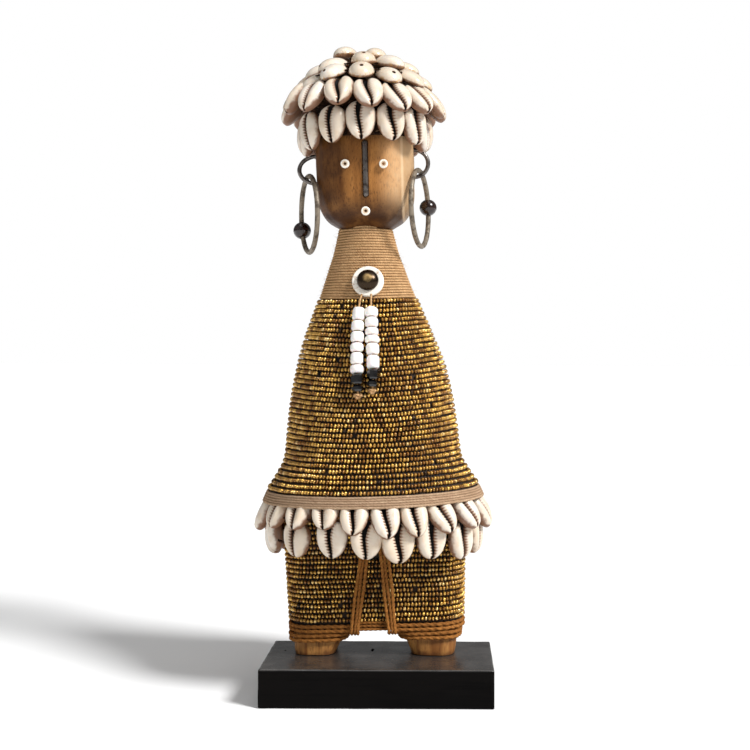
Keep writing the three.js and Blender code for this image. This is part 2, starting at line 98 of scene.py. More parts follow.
def levelRing(z, halfWidth, halfDepth, squareness=2.0, x=0.0, count=96):
    ring = []
    for i in range(count):
        t = 2 * math.pi * i / count
        ring.append(Vector((x + halfWidth * squared(math.sin(t), squareness),
                            halfDepth * squared(math.cos(t), squareness), z)))
    return ring


def bodyPoint(z, t, grow=0.0):
    # t is measured from the back, where windings start and end
    width, middle = readAlong(body["outline"], z)
    return Vector((middle + (width + grow) * math.sin(t), (body["depth"] * width + grow) * math.cos(t), z))


def bodyRing(z, grow=0.0, dip=0.0, count=120):
    # dip is how far a winding sags at the front and back
    angles = [2 * math.pi * i / count for i in range(count)]
    return [bodyPoint(z + dip * math.sin(t) ** 2, t, grow) for t in angles]


def hipsRing(z, grow=0.0, perEnd=22):
    radius = hips["halfDepth"] + grow
    straight = hips["halfWidth"] + hips["flare"] * (z - hips["bottom"]) - hips["halfDepth"]
    middle = hips["middle"]
    ring = []
    for side in (1, -1):
        for i in range(perEnd + 1):
            t = side * math.pi * (i / perEnd - 0.5)
            ring.append(Vector((middle + side * (straight + radius * math.cos(t)), radius * math.sin(t), z)))
        # the flat faces get points of their own, so that a winding can wander a little
        for i in range(1, 8):
            ring.append(Vector((middle + side * straight * (1 - i / 4), side * radius, z)))
    return ring


# Building meshes

def makePiece(name, vertices, faces, place=dollFrame, edges=(), sharpDeg=None):
    mesh = bpy.data.meshes.new(name)
    mesh.from_pydata([place @ Vector(v) for v in vertices], list(edges), faces)
    if faces:
        work = bmesh.new()
        work.from_mesh(mesh)
        bmesh.ops.recalc_face_normals(work, faces=work.faces)
        work.to_mesh(mesh)
        work.free()
        mesh.shade_smooth()
        if sharpDeg is not None:
            mesh.set_sharp_from_angle(angle=math.radians(sharpDeg))
    piece = bpy.data.objects.new(f"doll_{name}", mesh)
    bpy.context.scene.collection.objects.link(piece)
    return piece


def loft(name, rings, place=dollFrame, closed=False, sharpDeg=None):
    # Rings of equal count; an open stack gets a centre point at both ends, a closed one meets itself
    count = len(rings[0])
    vertices = [p for ring in rings for p in ring]
    faces = []
    for r in range(len(rings) if closed else len(rings) - 1):
        s = (r + 1) % len(rings)
        for i in range(count):
            j = (i + 1) % count
            faces.append((r * count + i, r * count + j, s * count + j, s * count + i))
    if not closed:
        for r in (0, len(rings) - 1):
            vertices.append(sum(rings[r], Vector()) / count)
            centre = len(vertices) - 1
            faces += [(centre, r * count + i, r * count + (i + 1) % count) for i in range(count)]
    return makePiece(name, vertices, faces, place, sharpDeg=sharpDeg)


def slabRings(halfWidth, halfDepth, low, high):
    corners = ((-1, -1), (1, -1), (1, 1), (-1, 1))
    return [[Vector((x * halfWidth, y * halfDepth, z)) for x, y in corners] for z in (low, high)]


def lathe(name, profile, place, sides=48, closed=False, sharpDeg=None):
    # profile is [radius, height] round the local Z axis; an open one starts and ends near the axis
    rings = []
    for radius, height in profile:
        rings.append([Vector((radius * math.cos(2 * math.pi * i / sides),
                              radius * math.sin(2 * math.pi * i / sides), height)) for i in range(sides)])
    return loft(name, rings, dollFrame @ place, closed, sharpDeg)


def tube(name, points, radius, sides=12, closed=False, wobble=0.0, seed=0):
    # A round wire along points; its frame is carried along, so that it doesn't twist
    rings = []
    normal = None
    for i, p in enumerate(points):
        before = points[i - 1] if (closed or i) else p
        after = points[(i + 1) % len(points)] if (closed or i + 1 < len(points)) else p
        tangent = (after - before).normalized()
        if normal is None:
            normal = tangent.orthogonal()
        normal = (normal - tangent * normal.dot(tangent)).normalized()
        across = tangent.cross(normal)
        r = radius * (1 + wobble * noise.noise(p * 0.35 + Vector((seed, 0, 0))))
        rings.append([p + (normal * math.cos(a) + across * math.sin(a)) * r
                      for a in (2 * math.pi * k / sides for k in range(sides))])
    if closed:
        # turn the last rings back to where the first one starts
        turn = math.atan2((rings[-1][0] - points[-1]).dot(rings[0][sides // 4] - points[0]),
                          (rings[-1][0] - points[-1]).dot(rings[0][0] - points[0]))
        shift = round(turn / (2 * math.pi / sides)) % sides
        for n in range(len(rings)):
            k = round(shift * n / len(rings))
            rings[n] = rings[n][-k:] + rings[n][:-k] if k else rings[n]
    return loft(name, rings, closed=closed, sharpDeg=60)


def paths(name, lines, closed):
    # Lines of points as bare edges, for the trees that wind something along them
    vertices, edges = [], []
    for line in lines:
        first = len(vertices)
        vertices += line
        edges += [(first + i, first + i + 1) for i in range(len(line) - 1)]
        if closed:
            edges.append((len(vertices) - 1, first))
    return makePiece(name, vertices, [], edges=edges)


def settle(piece):
    # The evaluated mesh becomes the piece's own, and its modifiers go
    graph = bpy.context.evaluated_depsgraph_get()
    result = bpy.data.meshes.new_from_object(piece.evaluated_get(graph), depsgraph=graph)
    piece.modifiers.clear()
    before = piece.data
    piece.data = result
    bpy.data.meshes.remove(before)
    result.name = piece.name
    # only the slots that its faces use are kept
    used = sorted({polygon.material_index for polygon in result.polygons})
    if len(result.materials) > len(used):
        for polygon in result.polygons:
            polygon.material_index = used.index(polygon.material_index)
        kept = [result.materials[i] for i in used]
        result.materials.clear()
        for material in kept:
            result.materials.append(material)


def carve(piece, tool, how):
    modifier = piece.modifiers.new(how, "BOOLEAN")
    modifier.operation = how
    modifier.solver = "EXACT"
    modifier.object = tool
    settle(piece)
    bpy.data.objects.remove(tool)


def roughen(piece, amount, size, seed=0):
    # Low waves over a hand-worked surface, in millimetres
    for v in piece.data.vertices:
        p = v.co / (size * mm) + Vector((seed, seed * 0.7, 0))
        v.co += v.normal * (noise.noise(p) * amount * mm)


def markPoints(piece, name, values):
    piece.data.attributes.new(name, "FLOAT", "POINT").data.foreach_set("value", values)


def addPart(piece, extra):
    # Joins another mesh into the piece, with its material as the next slot
    slot = len(piece.data.materials)
    for polygon in extra.data.polygons:
        polygon.material_index = slot
    work = bmesh.new()
    work.from_mesh(piece.data)
    work.from_mesh(extra.data)
    work.to_mesh(piece.data)
    work.free()
    piece.data.materials.append(extra.data.materials[0])
    bpy.data.objects.remove(extra)


def put(piece, slot, *nodes):
    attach(piece, "root")
    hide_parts(*nodes)


def dress(piece, finish, slot, *nodes):
    piece.data.materials.append(finishes[finish])
    put(piece, slot, *nodes)


# Node helpers, the same for shader and geometry trees

def pick(sockets, key):
    if isinstance(key, int):
        return sockets[key]
    return next(s for s in sockets if s.name == key and s.enabled)


def addNode(tree, kind, values=None, **settings):
    node = tree.nodes.new(kind)
    for key, value in settings.items():
        setattr(node, key, value)
    for key, value in (values or {}).items():
        socket = pick(node.inputs, key)
        if isinstance(value, bpy.types.NodeSocket):
            tree.links.new(value, socket)
        else:
            socket.default_value = value
    return node


def maths(tree, operation, a, b=0.0):
    return addNode(tree, "ShaderNodeMath", {0: a, 1: b}, operation=operation).outputs[0]


def vectorMaths(tree, operation, a, b):
    return addNode(tree, "ShaderNodeVectorMath", {0: a, 1: b}, operation=operation).outputs[0]


def ramp(tree, value, low, high, toLow=0.0, toHigh=1.0):
    return addNode(tree, "ShaderNodeMapRange", {"Value": value, "From Min": low, "From Max": high,
                                                "To Min": toLow, "To Max": toHigh},
                   interpolation_type="SMOOTHSTEP").outputs[0]


def blend(tree, factor, a, b):
    mix = addNode(tree, "ShaderNodeMix", {"Factor": factor, "A": a, "B": b}, data_type="RGBA")
    return pick(mix.outputs, "Result")


def noiseOf(tree, vector, scale, detail=3.0, rough=0.55, distortion=0.0):
    return addNode(tree, "ShaderNodeTexNoise", {"Vector": vector, "Scale": scale, "Detail": detail,
                                                "Roughness": rough, "Distortion": distortion}).outputs[0]


def attribute(tree, name, output="Fac"):
    return addNode(tree, "ShaderNodeAttribute", attribute_name=name).outputs[output]


def paint(red, green, blue):
    # A colour as it is seen, 0 to 255
    return tuple((c / 255) ** 2.2 for c in (red, green, blue)) + (1.0,)


def startGroup(name, inputs, outputs, kind="ShaderNodeTree"):
    group = bpy.data.node_groups.new(name, kind)
    for label, socketType, value in inputs:
        socket = group.interface.new_socket(label, in_out="INPUT", socket_type=socketType)
        if value is not None:
            socket.default_value = value
    for label, socketType in outputs:
        group.interface.new_socket(label, in_out="OUTPUT", socket_type=socketType)
    return group, group.nodes.new("NodeGroupInput").outputs, group.nodes.new("NodeGroupOutput").inputs


def startMaterial(name, fixed):
    material = bpy.data.materials.new(name)
    material.use_nodes = True
    shader = material.node_tree.nodes["Principled BSDF"]
    for label, value in fixed.items():
        shader.inputs[label].default_value = value
    return material, material.node_tree, shader.inputs


def place(tree):
    return addNode(tree, "ShaderNodeTexCoord").outputs["Object"]


def bump(tree, height, distance, strength=1.0):
    return addNode(tree, "ShaderNodeBump", {"Height": height, "Distance": distance * mm,
                                            "Strength": strength}).outputs[0]


def scaled(tree, at, x, y, z):
    factors = addNode(tree, "ShaderNodeCombineXYZ", {0: x, 1: y, 2: z}).outputs[0]
    return vectorMaths(tree, "MULTIPLY", at, factors)


def useGroup(tree, group, values):
    return addNode(tree, "ShaderNodeGroup", values, node_tree=group).outputs


def feed(tree, sockets, values):
    for label, value in values.items():
        tree.links.new(value, sockets[label])


# Effects that several finishes share

number, colour, vector = "NodeSocketFloat", "NodeSocketColor", "NodeSocketVector"

woodGrain, given, result = startGroup(
    "woodGrain",
    [("Vector", vector, None), ("Light", colour, paint(180, 130, 80)), ("Dark", colour, paint(90, 55, 30)),
     ("Pores", colour, paint(50, 28, 14)), ("Fine", number, 900.0), ("Long", number, 45.0),
     ("Bands", number, 120.0)],
    [("Color", colour), ("Height", number)])
fine, bands = given["Fine"], given["Bands"]
fibre = noiseOf(woodGrain, scaled(woodGrain, given["Vector"], fine, fine, given["Long"]), 1.0, 4.0, 0.65)
long = maths(woodGrain, "MULTIPLY", bands, 0.12)
band = noiseOf(woodGrain, scaled(woodGrain, given["Vector"], bands, bands, long), 1.0, 2.0, 0.5, 0.6)
tone = blend(woodGrain, ramp(woodGrain, band, 0.32, 0.68), given["Dark"], given["Light"])
tone = blend(woodGrain, ramp(woodGrain, fibre, 0.5, 0.3, 0.0, 0.75), tone, given["Pores"])
height = maths(woodGrain, "ADD", fibre, maths(woodGrain, "MULTIPLY", band, 0.4))
feed(woodGrain, result, {"Color": tone, "Height": height})

# Darkens a colour where Where plus a cloud is high: real dirt, and painted shade where parts meet
grime, given, result = startGroup(
    "grime",
    [("Vector", vector, None), ("Clean", colour, paint(235, 225, 205)), ("Dirt", colour, paint(120, 80, 45)),
     ("Where", number, 0.0), ("Amount", number, 0.5), ("Size", number, 300.0)],
    [("Color", colour), ("Mask", number)])
cloud = noiseOf(grime, given["Vector"], given["Size"], 5.0, 0.6)
where = maths(grime, "ADD", given["Where"], cloud)
mask = maths(grime, "MULTIPLY", ramp(grime, where, 0.75, 1.25), given["Amount"])
feed(grime, result, {"Color": blend(grime, mask, given["Clean"], given["Dirt"]), "Mask": mask})

spunFibre, given, result = startGroup(
    "spunFibre",
    [("Vector", vector, None), ("Light", colour, paint(214, 172, 128)), ("Dark", colour, paint(120, 80, 48)),
     ("Stray", colour, paint(240, 214, 176)), ("Around", number, 2.2), ("Along", number, 700.0)],
    [("Color", colour), ("Height", number)])
lay = scaled(spunFibre, attribute(spunFibre, "lay", "Vector"), given["Around"], given["Around"], 0.0)
run = addNode(spunFibre, "ShaderNodeCombineXYZ",
              {2: maths(spunFibre, "MULTIPLY", attribute(spunFibre, "along"), given["Along"])}).outputs[0]
thread = noiseOf(spunFibre, vectorMaths(spunFibre, "ADD", lay, run), 1.6, 4.0, 0.7)
patch = noiseOf(spunFibre, given["Vector"], 260.0, 3.0)
tone = blend(spunFibre, ramp(spunFibre, thread, 0.3, 0.62), given["Dark"], given["Light"])
tone = blend(spunFibre, ramp(spunFibre, thread, 0.62, 0.8, 0.0, 0.7), tone, given["Stray"])
patch = maths(spunFibre, "ADD", patch, attribute(spunFibre, "strand"))
tone = blend(spunFibre, ramp(spunFibre, patch, 0.75, 1.3, 0.0, 0.35), tone, given["Dark"])
feed(spunFibre, result, {"Color": tone, "Height": thread})

tarnish, given, result = startGroup(
    "tarnish",
    [("Vector", vector, None), ("Metal", colour, paint(120, 110, 95)), ("Oxide", colour, paint(50, 42, 34)),
     ("Size", number, 500.0), ("Amount", number, 0.5)],
    [("Color", colour), ("Mask", number), ("Height", number)])
spots = noiseOf(tarnish, given["Vector"], given["Size"], 6.0, 0.65)
level = maths(tarnish, "SUBTRACT", 0.72, maths(tarnish, "MULTIPLY", given["Amount"], 0.4))
mask = ramp(tarnish, maths(tarnish, "SUBTRACT", spots, level), -0.08, 0.12)
tone = blend(tarnish, mask, given["Metal"], given["Oxide"])
feed(tarnish, result, {"Color": tone, "Mask": mask, "Height": spots})


# Finishes

def headWoodPaintedLight():
    # Painted shade darkens the left side, under the chin and the brow under the cap; painted light makes the middle
    # and right of the face lighter
    material, tree, shader = startMaterial("stained_head_wood", {"Roughness": 0.45, "Specular IOR Level": 0.2})
    at = place(tree)
    x, _, z = addNode(tree, "ShaderNodeSeparateXYZ", {0: at}).outputs
    grain = useGroup(tree, woodGrain, {"Vector": at, "Light": paint(186, 128, 70), "Dark": paint(120, 76, 36),
                                       "Pores": paint(54, 29, 13), "Fine": 2000.0, "Long": 420.0,
                                       "Bands": 110.0})
    # painted shade: darker to the left, under the chin and under the cap
    left = ramp(tree, x, -0.0085, -0.0225, 0.0, 0.75)
    chinShade = ramp(tree, z, 0.2380, 0.2210, 0.0, 0.88)
    browShade = ramp(tree, z, 0.252, 0.262, 0.0, 0.6)
    cloud = noiseOf(tree, at, 150.0, 4.0)
    # stain holds painted shade, broken up by a cloud, not a stain in the wood
    stain = maths(tree, "MAXIMUM", maths(tree, "MAXIMUM", left, chinShade), browShade)
    stain = maths(tree, "MULTIPLY", stain, ramp(tree, cloud, 0.25, 0.6, 0.8, 1.1))
    # painted light: the face gets lighter towards its right, where the key light falls; worn here is painted light,
    # not wear
    worn = maths(tree, "MULTIPLY", ramp(tree, x, -0.004, 0.011, 0.0, 0.72),
                 ramp(tree, cloud, 0.3, 0.65, 0.6, 1.0))
    tone = blend(tree, worn, grain["Color"], paint(228, 190, 146))
    # painted shade: the shaded places go dark brown
    tone = blend(tree, maths(tree, "MINIMUM", stain, 0.92), tone, paint(50, 25, 5))
    # the arris leans with the doll; beyond it the wood is greyer, a painted sheen on the right-hand facet
    across = maths(tree, "ADD", x, maths(tree, "MULTIPLY", z, math.tan(math.radians(stance["leanDeg"]))))
    arris = 0.0166
    facetSheen = maths(tree, "MULTIPLY", ramp(tree, across, arris, arris + 0.0006, 0.0, 0.5),
                   ramp(tree, cloud, 0.3, 0.6, 0.5, 1.0))
    tone = blend(tree, facetSheen, tone, paint(176, 146, 110))
    # painted highlight: a light line along the arris
    fromArris = maths(tree, "ABSOLUTE", maths(tree, "SUBTRACT", across, arris))
    tone = blend(tree, ramp(tree, fromArris, 0.0002, 0.0009, 0.55, 0.0), tone, paint(226, 196, 158))
    feed(tree, shader, {"Base Color": tone, "Normal": bump(tree, grain["Height"], 0.12, 0.6)})
    return material


def hiddenWood():
    material, tree, shader = startMaterial("wood_under_beads", {"Roughness": 0.8})
    at = place(tree)
    grain = useGroup(tree, woodGrain, {"Vector": at, "Light": paint(48, 32, 16), "Dark": paint(30, 19, 9),
                                       "Pores": paint(14, 9, 5)})
    feed(tree, shader, {"Base Color": grain["Color"]})
    return material


def rawFootWood():
    material, tree, shader = startMaterial("raw_foot_wood", {"Roughness": 0.6, "Specular IOR Level": 0.35})
    at = place(tree)
    z = addNode(tree, "ShaderNodeSeparateXYZ", {0: at}).outputs[2]
    grain = useGroup(tree, woodGrain, {"Vector": at, "Light": paint(194, 138, 76), "Dark": paint(128, 80, 38),
                                       "Pores": paint(88, 52, 26), "Fine": 1000.0, "Long": 80.0,
                                       "Bands": 220.0})
    # darker towards the bottom of the feet, next to the plinth
    darkened = useGroup(tree, grime, {"Vector": at, "Clean": grain["Color"], "Dirt": paint(96, 58, 30),
                                   "Where": ramp(tree, z, 0.0215, 0.0172, 0.1, 0.65), "Amount": 0.75,
                                   "Size": 260.0})
    feed(tree, shader, {"Base Color": darkened["Color"], "Normal": bump(tree, grain["Height"], 0.1, 0.5)})
    return material


def blackPlinthWood():
    # The top is polished, the sides are dull; the top also gets a lighter grey, a painted sheen
    material, tree, shader = startMaterial("black_plinth_wood", {"Specular IOR Level": 0.06,
                                                                 "Coat Roughness": 0.26, "Coat IOR": 2.3})
    at = place(tree)
    z = addNode(tree, "ShaderNodeSeparateXYZ", {0: at}).outputs[2]
    lying = addNode(tree, "ShaderNodeMapping", {"Vector": at, "Rotation": (0, math.radians(90), 0)}).outputs[0]
    grain = useGroup(tree, woodGrain, {"Vector": lying, "Light": paint(17, 15, 14), "Dark": paint(10, 9, 9),
                                       "Pores": paint(6, 5, 5), "Fine": 800.0, "Long": 26.0, "Bands": 90.0})
    edges = maths(tree, "ADD", attribute(tree, "wear"), noiseOf(tree, at, 420.0, 5.0))
    cloud = noiseOf(tree, at, 90.0, 5.0)
    polishAndSheen = maths(tree, "MULTIPLY", ramp(tree, z, 0.0165, 0.0173), ramp(tree, cloud, 0.3, 0.7, 0.6, 1.0))
    # painted sheen: the top is laid lighter grey, broken up by a cloud
    tone = blend(tree, maths(tree, "MULTIPLY", polishAndSheen, 0.8), grain["Color"], paint(70, 67, 65))
    tone = blend(tree, ramp(tree, edges, 1.12, 1.4, 0.0, 0.5), tone, paint(72, 62, 56))
    feed(tree, shader, {"Base Color": tone, "Roughness": ramp(tree, cloud, 0.3, 0.7, 0.4, 0.6),
                        "Coat Weight": polishAndSheen, "Normal": bump(tree, grain["Height"], 0.1, 0.5)})
    return material


def goldBeadGlass():
    # Lined glass beads: most are antique gold, some bronze, a few nearly black
    material, tree, shader = startMaterial("gold_bead_glass", {"Metallic": 0.75, "Coat Weight": 0.6,
                                                               "Coat Roughness": 0.1})
    at = place(tree)
    one, patch = attribute(tree, "tone"), noiseOf(tree, at, 48.0, 3.0)
    gold = blend(tree, ramp(tree, one, 0.0, 1.0), paint(130, 86, 28), paint(236, 187, 92))
    gold = blend(tree, ramp(tree, patch, 0.46, 0.68, 0.0, 0.6), gold, paint(134, 88, 38))
    gold = blend(tree, ramp(tree, one, 0.93, 0.96, 0.0, 0.5), gold, paint(240, 212, 150))
    gold = blend(tree, ramp(tree, one, 0.014, 0.007, 0.0, 0.9), gold, paint(34, 22, 12))
    specks = noiseOf(tree, at, 1400.0, 3.0)
    gold = blend(tree, ramp(tree, specks, 0.52, 0.78, 0.0, 0.5), gold, paint(72, 46, 20))
    feed(tree, shader, {"Base Color": gold, "Roughness": ramp(tree, patch, 0.3, 0.7, 0.22, 0.34)})
    return material


def twineFinish(name, light, dark, stray):
    material, tree, shader = startMaterial(name, {"Roughness": 0.85, "Specular IOR Level": 0.2})
    spun = useGroup(tree, spunFibre, {"Vector": place(tree), "Light": light, "Dark": dark, "Stray": stray})
    feed(tree, shader, {"Base Color": spun["Color"], "Normal": bump(tree, spun["Height"], 0.14, 0.9)})
    return material


def cowrieFinish():
    material, tree, shader = startMaterial("cowrie_shell", {"Coat Roughness": 0.15,
                                                            "Subsurface Weight": 0.12, "Subsurface Scale": 0.0015,
                                                            "Subsurface Radius": (1.0, 0.6, 0.35)})
    at = place(tree)
    tone = attribute(tree, "tone")
    ivory = blend(tree, tone, paint(232, 221, 207), paint(218, 201, 179))
    warm = ramp(tree, noiseOf(tree, at, 210.0, 3.0), 0.45, 0.75, 0.0, 0.5)
    ivory = blend(tree, warm, ivory, paint(210, 182, 148))
    # brown dirt and painted shade at the edges and ends of each shell, where it meets its neighbours and the band
    darkened = useGroup(tree, grime, {"Vector": at, "Clean": ivory, "Dirt": paint(116, 70, 34),
                                   "Where": attribute(tree, "rim"), "Amount": 0.92, "Size": 380.0})
    stained = blend(tree, maths(tree, "MULTIPLY", attribute(tree, "stain"),
                                ramp(tree, noiseOf(tree, at, 620.0, 4.0), 0.5, 0.68, 0.0, 0.8)),
                    darkened["Color"], paint(190, 142, 56))
    # painted shade: brown at the slit's edges and between the ribs, near black deep in the slit and in the sewing
    # hole
    cleft = attribute(tree, "cleft")
    brown = blend(tree, ramp(tree, cleft, 0.04, 0.36, 0.0, 0.9), stained, paint(118, 68, 30))
    deep = blend(tree, ramp(tree, cleft, 0.34, 0.7), brown, paint(9, 5, 3))
    rough = maths(tree, "MAXIMUM", ramp(tree, darkened["Mask"], 0.0, 0.8, 0.26, 0.6),
                  ramp(tree, cleft, 0.1, 0.4, 0.0, 0.95))
    feed(tree, shader, {"Base Color": deep, "Coat Weight": ramp(tree, cleft, 0.1, 0.4, 0.35, 0.0),
                        "Roughness": rough, "Normal": bump(tree, noiseOf(tree, at, 900.0, 4.0), 0.03, 0.4)})
    return material


def mattedFibre():
    material, tree, shader = startMaterial("matted_cap_fibre", {"Roughness": 0.95, "Specular IOR Level": 0.2})
    at = place(tree)
    cloud = ramp(tree, noiseOf(tree, at, 650.0, 6.0, 0.7), 0.35, 0.7)
    feed(tree, shader, {"Base Color": blend(tree, cloud, paint(16, 10, 6), paint(64, 40, 22)),
                        "Normal": bump(tree, noiseOf(tree, at, 1500.0, 5.0, 0.7), 0.35, 1.0)})
    return material


def strayFibre():
    material, tree, shader = startMaterial("frayed_fibre", {"Roughness": 0.9, "Specular IOR Level": 0.2})
    cloud = ramp(tree, noiseOf(tree, place(tree), 700.0, 2.0), 0.35, 0.7)
    feed(tree, shader, {"Base Color": blend(tree, cloud, paint(70, 45, 28), paint(190, 160, 128))})
    return material


def metalFinish(name, metal, oxide, size, amount, metallic, smooth, worn):
    material, tree, shader = startMaterial(name, {"Metallic": metallic})
    aged = useGroup(tree, tarnish, {"Vector": place(tree), "Metal": metal, "Oxide": oxide, "Size": size,
                                    "Amount": amount})
    feed(tree, shader, {"Base Color": aged["Color"], "Normal": bump(tree, aged["Height"], 0.06, 0.5),
                        "Roughness": ramp(tree, aged["Mask"], 0.0, 1.0, smooth, worn)})
    return material


def domedBrass():
    # The stud is rubbed bright on its crown and dark round its foot
    material, tree, shader = startMaterial("aged_brass", {"Metallic": 0.95})
    at = place(tree)
    crown = attribute(tree, "crown")
    cloud = noiseOf(tree, at, 420.0, 5.0)
    bright = ramp(tree, maths(tree, "ADD", crown, maths(tree, "MULTIPLY", cloud, 0.3)), 0.3, 0.9)
    feed(tree, shader, {"Base Color": blend(tree, bright, paint(62, 52, 42), paint(214, 178, 122)),
                        "Roughness": ramp(tree, cloud, 0.3, 0.7, 0.2, 0.34)})
    return material


def crackedBone(name, cracks):
    material, tree, shader = startMaterial(name, {"Roughness": 0.42, "Coat Weight": 0.1})
    at = place(tree)
    darkened = useGroup(tree, grime, {"Vector": at, "Clean": paint(246, 240, 228), "Dirt": paint(186, 150, 106),
                                   "Where": attribute(tree, "rim"), "Amount": 0.7, "Size": 500.0})
    line = ramp(tree, maths(tree, "ABSOLUTE", maths(tree, "SUBTRACT", noiseOf(tree, at, 190.0, 1.0), 0.5)),
                0.0, 0.012, cracks, 0.0)
    feed(tree, shader, {"Base Color": blend(tree, line, darkened["Color"], paint(168, 120, 74))})
    return material


def whiteBeadGlass():
    material, tree, shader = startMaterial("white_bead_glass", {"Roughness": 0.48, "Subsurface Weight": 0.15,
                                                                "Subsurface Scale": 0.001})
    at = place(tree)
    darkened = useGroup(tree, grime, {"Vector": at, "Clean": paint(250, 244, 240), "Dirt": paint(222, 196, 176),
                                   "Where": attribute(tree, "rim"), "Amount": 0.8, "Size": 700.0})
    feed(tree, shader, {"Base Color": darkened["Color"],
                        "Normal": bump(tree, noiseOf(tree, at, 1800.0, 4.0), 0.05, 0.5)})
    return material


def plainGlass(name, deep, veil, rough):
    material, tree, shader = startMaterial(name, {"Coat Weight": 0.5, "Coat Roughness": 0.05})
    cloud = noiseOf(tree, place(tree), 600.0, 3.0)
    feed(tree, shader, {"Base Color": blend(tree, ramp(tree, cloud, 0.4, 0.8), deep, veil),
                        "Roughness": ramp(tree, cloud, 0.3, 0.7, rough, rough + 0.12)})
    return material


finishes = {
    "headWood": headWoodPaintedLight(), "hiddenWood": hiddenWood(), "footWood": rawFootWood(),
    "plinth": blackPlinthWood(), "goldBead": goldBeadGlass(),
    "fineTwine": twineFinish("fine_jute_twine", paint(232, 190, 140), paint(136, 94, 56), paint(250, 224, 184)),
    "bandTwine": twineFinish("pale_jute_twine", paint(206, 176, 146), paint(124, 92, 64), paint(226, 204, 178)),
    "brownTwine": twineFinish("brown_jute_twine", paint(186, 124, 62), paint(88, 50, 20), paint(222, 170, 106)),
    "darkThread": twineFinish("dark_sewing_thread", paint(70, 46, 30), paint(34, 20, 12), paint(120, 90, 60)),
    "cowrie": cowrieFinish(), "cap": mattedFibre(), "stray": strayFibre(),
    "steel": metalFinish("dark_steel", paint(112, 106, 102), paint(56, 49, 45), 300.0, 0.4, 0.7, 0.26, 0.38),
    "hoop": metalFinish("weathered_hoop_metal", paint(138, 126, 110), paint(84, 74, 62), 240.0, 0.5, 0.35, 0.5,
                        0.66),
    "brass": domedBrass(),
    "bone": crackedBone("cracked_bone", 0.75), "faceBead": crackedBone("white_face_bead", 0.2),
    "whiteGlass": whiteBeadGlass(),
    "blackGlass": plainGlass("black_bead_glass", paint(10, 9, 11), paint(22, 20, 22), 0.06),
    "beadWood": plainGlass("dark_bead_wood", paint(30, 18, 15), paint(56, 32, 24), 0.14),
}
print("finishes ready")

# Camera at the photograph's angle
camera = {"lens": 57.4, "place": (0.0297, -0.562, 0.1546), "rollDeg": 0.25, "shift": (-0.092, -0.016)}
lens = bpy.data.cameras.new("camera")
lens.lens = camera["lens"]
lens.sensor_width = 36.0
lens.shift_x, lens.shift_y = camera["shift"]
lens.clip_start = 0.01
viewer = bpy.data.objects.new("camera", lens)
viewer.location = camera["place"]
viewer.rotation_euler = (math.radians(90), -math.radians(camera["rollDeg"]), 0)
bpy.context.scene.collection.objects.link(viewer)
bpy.context.scene.camera = viewer


# Trees that wind, string and sew

def geometryTree(name, inputs):
    return startGroup(name, [("Geometry", "NodeSocketGeometry", None)] + inputs,
                      [("Geometry", "NodeSocketGeometry")], "GeometryNodeTree")


def grow(piece, tree, values):
    # Runs a tree on a piece and keeps the plain mesh that it makes
    modifier = piece.modifiers.new(tree.name, "NODES")
    modifier.node_group = tree
    for item in tree.interface.items_tree:
        if item.in_out == "INPUT" and item.name in values:
            modifier[item.identifier] = values[item.name]
    settle(piece)
    return piece


def store(tree, geometry, name, value, kind="FLOAT", domain="POINT"):
    # A value that the finishes read by its name
    return addNode(tree, "GeometryNodeStoreNamedAttribute", {"Geometry": geometry, "Name": name, "Value": value},
                   data_type=kind, domain=domain).outputs[0]


def randomVector(tree, low, high, seed):
    return addNode(tree, "FunctionNodeRandomValue", {0: low, 1: high, "Seed": seed},
                   data_type="FLOAT_VECTOR").outputs[0]


def resized(tree, at, factor):
    return addNode(tree, "ShaderNodeVectorMath", {0: at, "Scale": factor}, operation="SCALE").outputs[0]


def turned(tree, rotation, angles):
    more = addNode(tree, "FunctionNodeEulerToRotation", {0: angles}).outputs[0]
    return addNode(tree, "FunctionNodeRotateRotation", {"Rotation": rotation, "Rotate By": more},
                   rotation_space="LOCAL").outputs[0]


def shapeOf(tree, thing):
    return addNode(tree, "GeometryNodeObjectInfo", {"Object": thing}).outputs["Geometry"]


def setOut(tree, points, shape, rotation, size, more=None):
    values = {"Points": points, "Instance": shape, "Rotation": rotation, "Scale": size} | (more or {})
    return addNode(tree, "GeometryNodeInstanceOnPoints", values).outputs[0]


def endTree(tree, geometry, material, result, smooth=False):
    # Every tree ends in plain mesh with its material
    real = addNode(tree, "GeometryNodeRealizeInstances", {"Geometry": geometry}).outputs[0]
    if smooth:
        real = addNode(tree, "GeometryNodeSetShadeSmooth", {"Geometry": real}).outputs[0]
    real = addNode(tree, "GeometryNodeSetMaterial", {"Geometry": real, "Material": material}).outputs[0]
    tree.links.new(real, result[0])
    return tree


def strayFibres(tree, surface, fibre, density, seed):
    # Loose ends of fibre standing off a surface
    points = addNode(tree, "GeometryNodeDistributePointsOnFaces",
                     {"Mesh": surface, "Density": density, "Seed": seed}, distribute_method="RANDOM").outputs
    bend = randomVector(tree, (-1.3, -1.3, -3.1), (1.3, 1.3, 3.1), seed + 1)
    size = addNode(tree, "FunctionNodeRandomValue", {2: 0.45, 3: 1.5, "Seed": seed + 2},
                   data_type="FLOAT").outputs[1]
    return setOut(tree, points["Points"], shapeOf(tree, fibre), turned(tree, points["Rotation"], bend), size)


